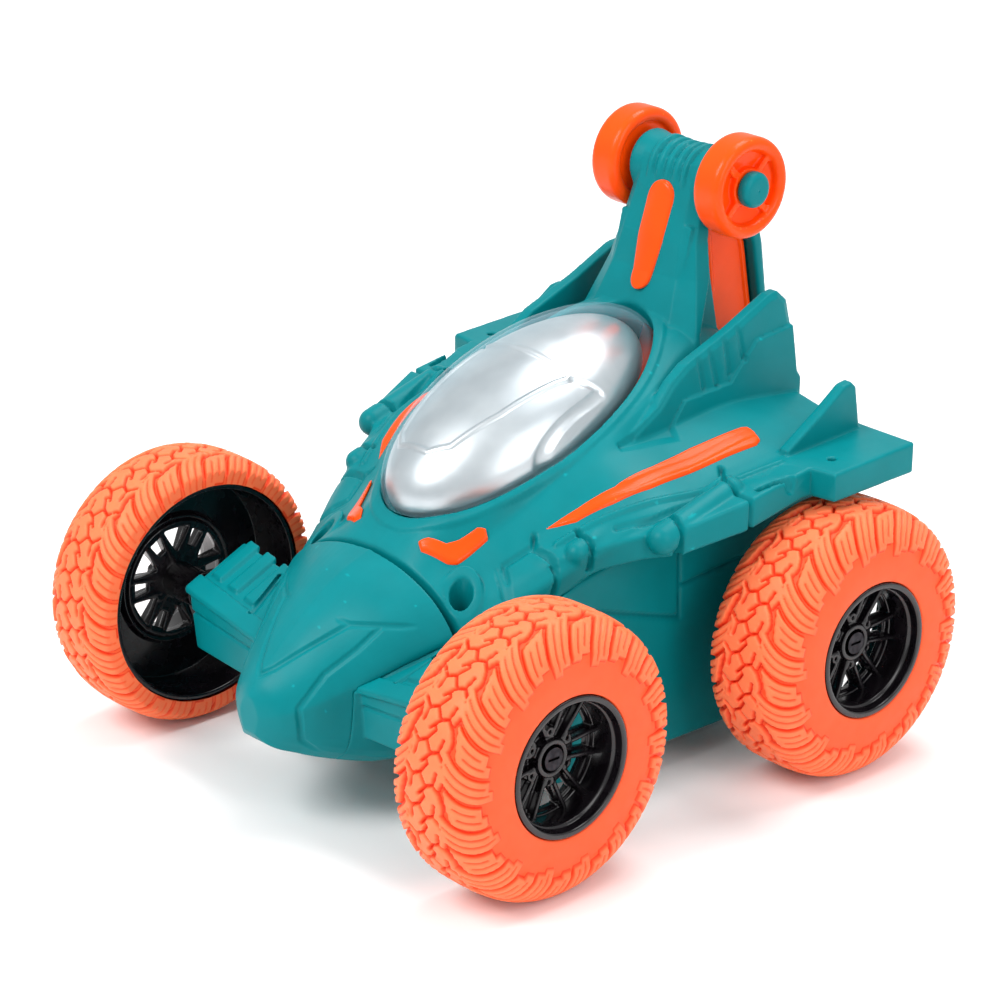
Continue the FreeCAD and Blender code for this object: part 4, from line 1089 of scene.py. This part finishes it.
MAST = [
    # z, half width, width of the flank, front y, rear y
    (84.0, 23.0, 6.4, 30.0, 38.0), (94.0, 18.6, 5.6, 37.6, 43.2), (106.0, 14.4, 4.0, 42.6, 50.0),
    (114.0, 12.4, 3.2, 44.6, 51.0), (126.0, 11.0, 2.6, 48.6, 52.2), (131.0, 10.2, 2.2, 50.6, 53.0),
]
ARM_SIDE = [
    (53.0, 120.4), (62.0, 120.4), (65.5, 110.0), (66.0, 66.0), (44.0, 66.0), (50.0, 84.0),
    (55.5, 100.0),
]


def body_loft(x, y, z):
    """Deck and shoulders as one solid form, open downward."""
    return loft(x, y, z, BODY_STATIONS, 0.16, drop=9.0, cap=0.8)


def body_bottom(y):
    return np.interp(y, [row[0] for row in BODY_STATIONS], [row[1][0][1] for row in BODY_STATIONS])


def mast_cover(x, y, z, inset):
    """The mast's front cover as a solid, or the room inside it where inset is the wall."""
    levels = [row[0] for row in MAST]
    half, flank, front, rear = (np.interp(z, levels, [row[i] for row in MAST]) for i in (1, 2, 3, 4))
    lean = 0.7 * np.clip(np.abs(x) - half + flank, 0, 12)
    shape = smooth_max(np.abs(x) - half + inset, (front + inset + lean - y) * 0.85, 0.3)
    shape = smooth_max(shape, y - rear - 3 * inset, 0.4)
    return smooth_max(shape, slab(z, 84.0, 131.0), 0.5)


MAST_WEB = [
    (46.0, 118.0), (51.2, 117.0), (52.9, 106.2), (56.8, 88.6), (58.0, 82.0), (36.0, 82.0),
    (42.0, 100.0),
]


def mast_web(x, y, z):
    """Inner side wall of the mast, between its front cover and the tail arm."""
    side = polygon(y[0], z[0], MAST_WEB)[None]
    return smooth_max(side, slab(np.abs(x), 9.4, 11.4), 0.5)


def mast_barrel(x, y, z):
    """Waisted barrel round the tail axle."""
    reach = TAIL_IN - 0.5
    girth = np.interp(np.abs(x), [0, 7.0, reach], [6.2, 6.6, 7.6])
    return smooth_max(np.hypot(y - TAIL_Y, z - TAIL_Z) - girth, np.abs(x) - reach, 0.8)


def barrel_ribs(x, y, z):
    """Raised rings over the front and top of the barrel."""
    ring = np.hypot(y - TAIL_Y, z - TAIL_Z)
    raised = np.zeros_like(x * y * z)
    for middle in (0.0, 2.7, 5.4):
        raised = np.maximum(raised, np.clip((0.9 - np.abs(np.abs(x) - middle)) / 0.25, 0, 1))
    return -0.85 * raised * np.clip((9.0 - ring) / 1.0, 0, 1) * (z > TAIL_Z - 5)


def wing(x, y, z):
    """Flat wing beside the deck: where its side view and its plan meet."""
    side = polygon(y[0], z[0], WING_SIDE)[None]
    plan = polygon(x[:, :, 0], y[:, :, 0], WING_PLAN)[:, :, None]
    return smooth_max(side, plan, 0.9)


def fin(outline, middle, half):
    """Upright plate along Y with eased edges."""
    def shape(x, y, z):
        side = polygon(y[0], z[0], outline)[None]
        return smooth_max(side, np.abs(x - middle) - half, 0.8)
    return shape


def rail(place, length, radius):
    """Round-ended rail that slopes up along the wing's edge, place being its front end."""
    start = (place[0], place[1] + radius, place[2] + 0.3 * radius)
    end = (place[0], place[1] + length, place[2] + 0.3 * length)

    def shape(x, y, z):
        return capsule(x, y, z, start, end, radius)
    return shape


LINE_DEPTH = 1.5
LINE_WIDTH = 0.8


def body_lines(x, y, z):
    """Engraved panel lines on the shoulders and wings, with the rings behind the rails' ends."""
    lines = [                  # points, share of the full depth (raised if negative), and how it is seen
        ([(27.4, -16.5, 61.6), (29.0, -18.1, 61.0), (33.6, -17.7, 60.2)], 0.9, FROM_ABOVE),
        ([(33.0, -17.6, 60.6), (36.9, -19.8, 51.5), (37.4, -20.2, 46.0)], 0.9, FROM_SIDE),
        ([(26.4, -24.6, 57.8), (29.6, -26.4, 56.2)], 0.6, FROM_ABOVE),
        ([(29.0, -26.2, 57.0), (32.1, -28.5, 52.1), (33.0, -28.8, 46.0)], 0.6, FROM_SIDE),
        ([(26.4, -24.6, 57.8), (28.8, -17.4, 61.0)], 0.5, FROM_ABOVE),
        ([(34.4, -10.4, 63.4), (39.6, -10.6, 62.8)], 1.0, FROM_ABOVE),
        ([(39.6, -10.6, 63.6), (40.4, -11.3, 60.6), (40.6, -11.4, 57.6)], 1.0, FROM_SIDE),
        ([(46.2, 6.0, 67.4), (51.4, 4.8, 66.8)], 1.0, FROM_ABOVE),
        ([(51.0, 4.8, 67.4), (52.5, 4.4, 60.0)], 1.0, FROM_SIDE),
        ([(42.5, 26.5, 72.4), (48.5, 21.4, 71.1), (57.6, 21.3, 69.7)], 0.9, FROM_ABOVE),
        ([(57.2, 21.3, 70.4), (57.6, 21.3, 60.0)], 0.9, FROM_SIDE),
        ([(54.9, 25.6, 71.7), (55.6, 30.0, 72.3), (57.0, 34.2, 72.9)], 1.6, FROM_ABOVE),
        ([(33.0, -15.0, 62.0), (40.0, 2.0, 68.0), (46.5, 20.0, 72.0), (50.0, 38.0, 74.0)], -0.5,
         FROM_ABOVE),
        ([(40.5, -4.0, 65.0), (44.5, 3.5, 67.6), (48.0, 19.0, 71.0)], 0.4, FROM_ABOVE),
    ]
    depth = np.zeros_like(x * y * z)
    for points, deep, seen in lines:
        line = LINE_DEPTH * deep * line_depth(x, y, z, points, LINE_WIDTH, seen)
        depth = np.where(np.abs(line) > np.abs(depth), line, depth)
    return depth


FIN_PANEL = [
    (24.1, 77.4), (29.1, 84.2), (43.9, 85.2), (51.9, 93.7), (72.0, 95.9), (72.0, 77.3),
]
FIN_RIBS = [((33.3, 95.0), (35.5, 85.8)), ((36.8, 96.0), (39.7, 85.7)), ((41.5, 97.6), (43.7, 87.4)),
            ((45.7, 99.0), (48.4, 89.9))]


def fin_relief(x, y, z):
    """Upper strip set back behind the fin's lower panel, with flutes down from its edge."""
    panel = polygon(y[0], z[0], FIN_PANEL)[None]
    strip = 0.8 * np.clip(panel / 0.4, 0, 1) * (z > 77.4)
    flutes = np.zeros_like(y * z)
    for top, foot in FIN_RIBS:
        flutes = np.maximum(flutes, furrow(np.sqrt(edge_distance(y, z, top, foot)), 0.75))
    return (strip + 0.8 * flutes) * (x > 27.0)


def deck_ridges(x, y, z):
    """Raised collar round the canopy."""
    gap = canopy_outline(x, y, z, 0.0)
    return -0.6 * np.clip((2.6 - gap) / 0.5, 0, 1)


def body_skin(x, y, z):
    """The outside of the deck, shoulders and wings, without fins or mast."""
    return smooth_min(body_loft(x, y, z), wing(x, y, z), 2.4)


def body_clay():
    """Deck, shoulders, wings, fins and the front of the mast, as one hollow shell."""
    clay = Clay((0, BODY_FRONT - 0.6, 40.0), (65.0, 68.2, 136.4), 0.36, True)
    deck_spans = [(0, 65), (BODY_FRONT, 68), (41, 99)]
    cut, x, y, z = clay.region(deck_spans, 1.0)
    solid = body_loft(x, y, z)
    clay.field[cut] = smooth_max(solid, body_bottom(y) - z + 0 * x, 0.5)
    clay.press(deck_ridges, [(0, 32), (-34, 66), (57, 99)])
    for shape, spans, fillet in (
        (wing, [(24, 64), (-21, 68), (53, 78)], 2.4),
        (rail((37.4, -15.6, 60.0), 26.0, 2.9), [(34, 41), (-19, 12), (56, 72)], 0.7),
        (rail((49.2, -1.5, 63.0), 24.0, 3.4), [(45, 53), (-5, 26), (59, 75)], 0.7),
        (fin(BIG_FIN, 26.2, 2.1), [(23, 30), (10, 68), (70, 105)], 0.6),
        (fin(SMALL_FIN, 47.8, 1.5), [(46, 50), (39, 66), (69, 88)], 0.6),
        (screw_tube, [(18, 29), (-39.2, -29), (41, 56)], 0.8),
    ):
        clay.add(shape, spans, fillet)
    mast_spans = [(0, 24), (28, 68), (82, 136)]
    cut, x, y, z = clay.region(mast_spans, 0.5)
    mast = smooth_max(mast_cover(x, y, z, 0), -mast_cover(x, y, z, WALL), 0.3)
    mast = smooth_min(mast, mast_web(x, y, z), 0.6)
    barrel = mast_barrel(x, y, z) + barrel_ribs(x, y, z)
    clay.field[cut] = smooth_min(clay.field[cut], smooth_min(mast, barrel, 1.0), 0.9)
    clay.press(fin_relief, [(26, 31), (10, 68), (75, 105)])
    clay.press(body_lines, [(24, 65), (-40, 68), (42, 80)])
    hollow_body(clay, solid, deck_spans)
    return clay


def tube_top(x, y, z):
    """Sloping plane that ends the screw tubes, facing up and outward."""
    return 0.45 * (x - BOSS[0]) - 0.6 * (y - BOSS[1]) + 0.66 * (z - 53.0)


def screw_tube(x, y, z):
    """Tube round a front case screw."""
    return smooth_max(upright(x, y, z, BOSS, (33.0, 60.0), BOSS_R + 0.9, 0.9), tube_top(x, y, z), 0.8)


def hollow_body(clay, solid, deck_spans):
    """Takes out the inside, the canopy's seat, the arm's and the nose's room, and the screw holes."""
    cut = clay.region(deck_spans, 1.0)[0]
    room = solid + 2 * WALL
    boss = upright(clay.x, clay.y, clay.z, BOSS, (33.0, 54.0), BOSS_R, 0.3)[cut]
    clay.field[cut] = smooth_max(clay.field[cut], -np.maximum(room, -boss), 0.3)
    clay.cut(lambda x, y, z: np.maximum(canopy_outline(x, y, z, 0.25), canopy_frame(y, z)[1] * -1 - 3.0),
             [(0, 24), (-35, 44), (58, 100)], 0.5)
    clay.cut(lambda x, y, z: np.maximum(polygon(y[0], z[0], ARM_SIDE)[None], np.abs(x) - 9.2),
             [(0, 10), (43, 67), (65, 121)], 0.2)
    clay.cut(lambda x, y, z: np.maximum(np.hypot(x - BOSS[0], y - BOSS[1]) - 3.6, 0.4 - tube_top(x, y, z)),
             [(18, 29), (-39, -29), (49, 62)], 0.6)
    clay.cut(lambda x, y, z: upright(x, y, z, BOSS, (37.0, 60.0), 2.6, 0.2),
             [(20, 28), (-39, -30), (37, 60)], 0.4)
    clay.cut(lambda x, y, z: upright(x, y, z, WING_HOLE, (70, 80), 1.0, 0.1),
             [(55, 59), (45, 49), (71, 78)], 0.3)
    swing = [(-40.0, BODY_FRONT - 6), (40.0, BODY_FRONT - 6), (40.0, BODY_FRONT + 1.35),
             (0.0, BODY_FRONT)]
    clay.cut(lambda x, y, z: polygon(x[:, :, 0], y[:, :, 0], swing)[:, :, None] + 0 * z,
             [(0, 40), (-42, -36), (40, 60)], 0.4)
    clay.cut(lambda x, y, z: crossways(x, y, z, (-20, 20), (TAIL_Y, TAIL_Z), 1.6, 0.1),
             [(0, 14), (53, 60), (124, 131)], 0.2)


def make_body():
    piece("body_skin", body_clay().surface(), "body_plastic", "chassis", "upper_body_shell")


# Trims on the deck ----------------------------------------------------------------------
STRIPE = [
    (28.1, -14.6), (29.4, -10.9), (31.0, -6.8), (33.8, 1.7), (34.8, 12.2), (34.9, 23.6),
    (35.9, 34.4), (36.3, 38.8), (36.9, 40.3), (38.9, 41.0), (41.4, 40.3), (42.1, 38.4),
    (41.0, 29.4), (40.1, 18.7), (39.0, 8.1), (36.6, -0.9), (33.2, -9.1),
]
CHEVRON = [
    (9.6, -35.1), (11.1, -33.3), (14.7, -31.1), (16.2, -28.8), (18.0, -24.9), (19.4, -23.5),
    (20.7, -23.9), (18.8, -31.5), (17.4, -33.0), (11.5, -35.8),
]


def trim_clay(outline, spans, proud, crease=None):
    """Strip that follows the deck, standing proud of it."""
    clay = Clay(*[tuple(c) for c in np.array(spans).T], 0.2)
    skin = body_skin(clay.x, clay.y, clay.z)
    plan = polygon(clay.x[:, :, 0], clay.y[:, :, 0], outline)[:, :, None]
    if crease is not None:
        skin = skin + 0.25 * furrow(polyline(clay.x, clay.y, crease), 1.2)
    layer = np.maximum(skin - proud, -(skin + 0.8))
    wing_top = 57.0 + 0.3 * (clay.y + 20.0) * (clay.y > -20)
    layer = np.maximum(layer, wing_top - clay.z)
    clay.field = smooth_max(layer, plan + 0.1, 0.7)
    return clay


def make_trims():
    crease = [(29.0, -13.0), (36.4, 5.0), (38.4, 22.0), (39.2, 40.0)]
    shapes = {
        "deck_stripe": trim_clay(STRIPE, [(26, 43), (-18, 42), (58, 82)], 0.6, crease).surface(),
        "chevron": trim_clay(CHEVRON, [(7, 22), (-38, -22), (55, 69)], 0.9).surface(),
    }
    for side, turn in SIDES:
        for name, shape in shapes.items():
            piece(f"{side}_{name}_trim", on_side(shape, turn), "bright_trim", "chassis", f"{side}_{name}")
    make_inlay()


def make_inlay():
    """Glossy teardrop on the mast's front, wide at the top."""
    clay = Clay((0, 36.0, 99.0), (5.2, 52.0, 128.6), 0.16, True)
    shell = mast_cover(clay.x, clay.y, clay.z, 0)
    outline = [(-4.2, 122.2), (4.2, 122.2), (4.0, 113.0), (2.8, 104.4), (-2.8, 104.4), (-4.0, 113.0)]
    drop = polygon(clay.x[:, 0, :], clay.z[0], outline)[:, None, :]
    for height, radius in ((122.2, 4.2), (104.6, 2.9)):
        drop = smooth_min(drop, np.hypot(clay.x, clay.z - height) - radius, 0.3)
    dome = 1.1 - 0.05 * np.clip(np.abs(clay.x), 0, 4) ** 2
    clay.field = smooth_max(np.maximum(shell - dome, -(shell + 0.8)), drop, 0.7) + 0 * clay.y
    piece("mast_teardrop", clay.surface(), "bright_trim", "chassis", "mast_inlay")


# Hull, arm and back plate ---------------------------------------------------------------
def hull_clay():
    """Lower hull, open at the top, with the steering pivot's lugs and the wheel shafts' bosses."""
    clay = Clay((0, -39.0, 5.0), (51.0, 66.0, 73.4), 0.5, True)
    x, y, z = clay.x, clay.y, clay.z
    plan = [(-20.0, -37.6), (26.0, -37.6), (33.0, -27.0), (HULL_W, -17.0), (HULL_W, 65.0), (-20.0, 65.0)]
    side = [(-38.0, 14.0), (-26.0, FLOOR_Z), (60.0, FLOOR_Z), (65.0, 14.0), (65.0, 72.0), (-38.0, 48.0)]
    around = polygon(x[:, :, 0], y[:, :, 0], plan)[:, :, None]
    tall = polygon(y[0], z[0], side)[None]
    room_side = [(-50.0, 14.0), (-26.0, FLOOR_Z), (60.0, FLOOR_Z), (65.0, 14.0), (65.0, 99.0),
                 (-50.0, 99.0)]
    tall_room = polygon(y[0], z[0], room_side)[None]
    clay.field = smooth_max(around, tall, 1.6) + 0 * x
    clay.press(hull_lines, [(30, 39), (-30, 66), (6, 72)])
    clay.field = smooth_max(clay.field, -(np.maximum(around, tall_room) + WALL), 0.4)
    deck = loft(x, y, z, BODY_STATIONS, 0.16, drop=0.0, cap=0.1)
    clay.field = smooth_max(clay.field, -(deck - 0.1), 0.2)
    clay.cut(lambda x, y, z: np.maximum(polygon(y[0], z[0], ARM_SIDE)[None], np.abs(x) - 9.3),
             [(0, 10), (43, 67), (65, 75)], 0.2)
    for level in ((22.0, 27.4), (36.6, 42.0)):
        clay.add(lambda x, y, z, level=level: block(x, y, z, ((-8, 8), (-36.5, -27.0), level), 0.6),
                 [(0, 8), (-37, -26), level])
    clay.cut(lambda x, y, z: block(x, y, z, ((-7.5, 7.5), (-41, STEER_Y + 6), (27.4, 36.6)), 0.3),
             [(0, 8), (-41, -27), (27, 37)], 0.2)
    clay.cut(lambda x, y, z: upright(x, y, z, (0, STEER_Y), (20, 43), 1.55, 0.1),
             [(0, 3), (-37, -31), (20, 43)], 0.2)
    clay.add(lambda x, y, z: crossways(x, y, z, (HULL_W - 2, TYRE_IN - 0.8), (REAR_Y, AXLE_Z), 7.5, 0.8),
             [(35, 50), (38, 56), (24, 41)], 1.0)
    clay.cut(lambda x, y, z: crossways(x, y, z, (HULL_W + 1, 60), (REAR_Y, AXLE_Z), 3.0, 0.1),
             [(38, 51), (43, 51), (29, 36)], 0.2)
    hull_floor(clay)
    return clay


DOOR = ((-30.1, 30.1), (-19.1, 7.1))
SWITCH_SLOT = ((-3.9, 3.9), (24.7, 27.3))
FLOOR_SCREW = (20.0, 50.0)


def hull_floor(clay):
    """Openings in the floor: battery door, power switch and the two rear screws."""
    floor = (FLOOR_Z - 2, FLOOR_Z + WALL + 2)
    for span_x, span_y in (DOOR, SWITCH_SLOT):
        clay.cut(lambda x, y, z, a=span_x, b=span_y: block(x, y, z, (a, b, floor), 0.1),
                 [(0, span_x[1]), span_y, floor], 0.2)
    clay.cut(lambda x, y, z: upright(x, y, z, FLOOR_SCREW, (FLOOR_Z - 2, 9.0), 2.6, 0.1),
             [(17, 23), (47, 53), floor], 0.2)


def hull_lines(x, y, z):
    """Flat panel on the hull's side, with the vertical line and the slanting groove behind it."""
    lines = [[(-14.0, 47.6), (-7.6, 45.6), (16.4, 37.8), (19.4, 37.0)], [(19.4, 37.0), (18.6, 60.0)],
             [(19.7, 44.6), (35.2, 45.9), (56.0, 47.6)]]
    depth = np.zeros_like(x * y * z)
    for line in lines:
        depth = np.maximum(depth, furrow(polyline(y, z, line), 0.8) + 0 * x)
    return 0.7 * depth


def make_hull():
    piece("hull_skin", hull_clay().surface(), "body_plastic", "chassis", "lower_hull")


STRUT_SIDE = [
    (53.0, 120.4), (62.0, 120.4), (66.6, 110.0), (69.8, 93.0), (70.0, 76.4), (66.0, 76.0),
    (66.0, 66.0), (44.0, 66.0), (50.0, 84.0), (55.5, 100.0),
]


def arm_clay():
    """Orange strut: two side walls joined round their edge."""
    clay = Clay((0, 43.0, 65.4), (10.4, 71.0, 121.4), 0.32, True)
    side = polygon(clay.y[0], clay.z[0], STRUT_SIDE)[None]
    clay.field = smooth_max(side, np.abs(clay.x) - 9.1, 0.9)
    inner = side + 1.6
    clay.field = smooth_max(clay.field, -smooth_max(inner, 8.5 - np.abs(clay.x), 0.3), 0.4)
    return clay


def back_plate_clay():
    """Plate down the back of the mast, hooked over its barrel, with a line along each edge."""
    outline = [(61.5, 132.5), (63.6, 132.0), (69.8, 110.0), (72.6, 92.0), (72.6, 76.0), (70.2, 76.0),
               (70.0, 93.0), (66.8, 110.0), (62.2, 120.6)]
    clay = Clay((0, 60.0, 75.0), (13.0, 73.0, 134.0), 0.32, True)
    side = polygon(clay.y[0], clay.z[0], outline)[None]
    clay.field = smooth_max(side, np.abs(clay.x) - 12.0, 1.2)
    clay.cut(lambda x, y, z: mast_barrel(x, y, z) - 0.1, [(0, 13), (60, 66), (118, 134)], 0.3)
    clay.press(lambda x, y, z: 0.4 * furrow(np.abs(x) - 8.4, 0.5) + 0 * y * z,
               [(7, 10), (60, 73), (78, 128)])
    return clay


def make_mast_parts():
    piece("arm_strut", arm_clay().surface(), "bright_trim", "chassis", "tail_arm")
    piece("mast_back_skin", back_plate_clay().surface(), "body_plastic", "chassis", "mast_back_plate")


# Stage ----------------------------------------------------------------------------------
CAMERA_AT = (562.6, -517.9, 358.2)
CAMERA_AZ = 47.463
CAMERA_EL = 21.357
CAMERA_ROLL = 0.846
SENSOR = 36.0
LENS = 128.87


def make_camera():
    """Long lens from the photograph's direction."""
    az, el, roll = (math.radians(a) for a in (CAMERA_AZ, CAMERA_EL, CAMERA_ROLL))
    back = Vector((math.sin(az) * math.cos(el), -math.cos(az) * math.cos(el), math.sin(el)))
    right = Vector((math.cos(az), math.sin(az), 0))
    up = back.cross(right)
    rolled_right = right * math.cos(roll) + up * math.sin(roll)
    rolled_up = up * math.cos(roll) - right * math.sin(roll)
    data = bpy.data.cameras.new("camera")
    data.sensor_width = SENSOR
    data.lens = LENS
    camera = bpy.data.objects.new("camera", data)
    rotation = Matrix((rolled_right, rolled_up, back)).transposed().to_4x4()
    camera.matrix_world = Matrix.Translation(Vector(CAMERA_AT) * MM) @ rotation
    bpy.context.scene.collection.objects.link(camera)
    bpy.context.scene.camera = camera


def make_floor():
    """Plain pale floor."""
    reach = 3.0
    corners = [(-reach, -reach, 0), (reach, -reach, 0), (reach, reach, 0), (-reach, reach, 0)]
    mesh = bpy.data.meshes.new("floor")
    mesh.from_pydata(corners, [], [(0, 1, 2, 3)])
    finish = Finish("floor_white").set(Specular_IOR_Level=0.2)
    finish.mottled(linear(250, 250, 250), linear(253, 253, 253), 60.0)
    finish.varied_roughness(0.7, 0.8, 40.0)
    mesh.materials.append(finish.material)
    floor = bpy.data.objects.new("floor", mesh)
    bpy.context.scene.collection.objects.link(floor)


def softbox(name, place, aim, size, watts):
    """Large rectangular light facing a point."""
    light = bpy.data.lights.new(name, "AREA")
    light.shape = "RECTANGLE"
    light.size = size[0]
    light.size_y = size[1]
    light.energy = watts
    lamp = bpy.data.objects.new(name, light)
    away = Vector(place) - Vector(aim)
    lamp.location = place
    lamp.rotation_euler = away.to_track_quat("Z", "Y").to_euler()
    bpy.context.scene.collection.objects.link(lamp)


def make_lights():
    """Three soft boxes in an evenly lit white room."""
    middle = (0, 0, 0.06)
    softbox("key", (-0.15, -0.75, 0.85), middle, (0.5, 0.5), 7.6)
    softbox("side", (0.95, -0.1, 0.6), middle, (0.4, 0.8), 3.6)
    softbox("top", (0.0, 0.35, 1.0), middle, (0.7, 0.4), 6.4)
    world = bpy.data.worlds.new("studio")
    world.use_nodes = True
    background = world.node_tree.nodes["Background"]
    background.inputs["Color"].default_value = (1, 1, 1, 1)
    background.inputs["Strength"].default_value = 0.7
    bpy.context.scene.world = world
    bpy.context.scene.view_settings.view_transform = "Standard"


paint_cad_nodes()
make_tyres()
make_rims()
make_tail_wheels()
make_nose()
make_canopy()
make_body()
make_trims()
make_hull()
make_mast_parts()
make_camera()
make_floor()
make_lights()
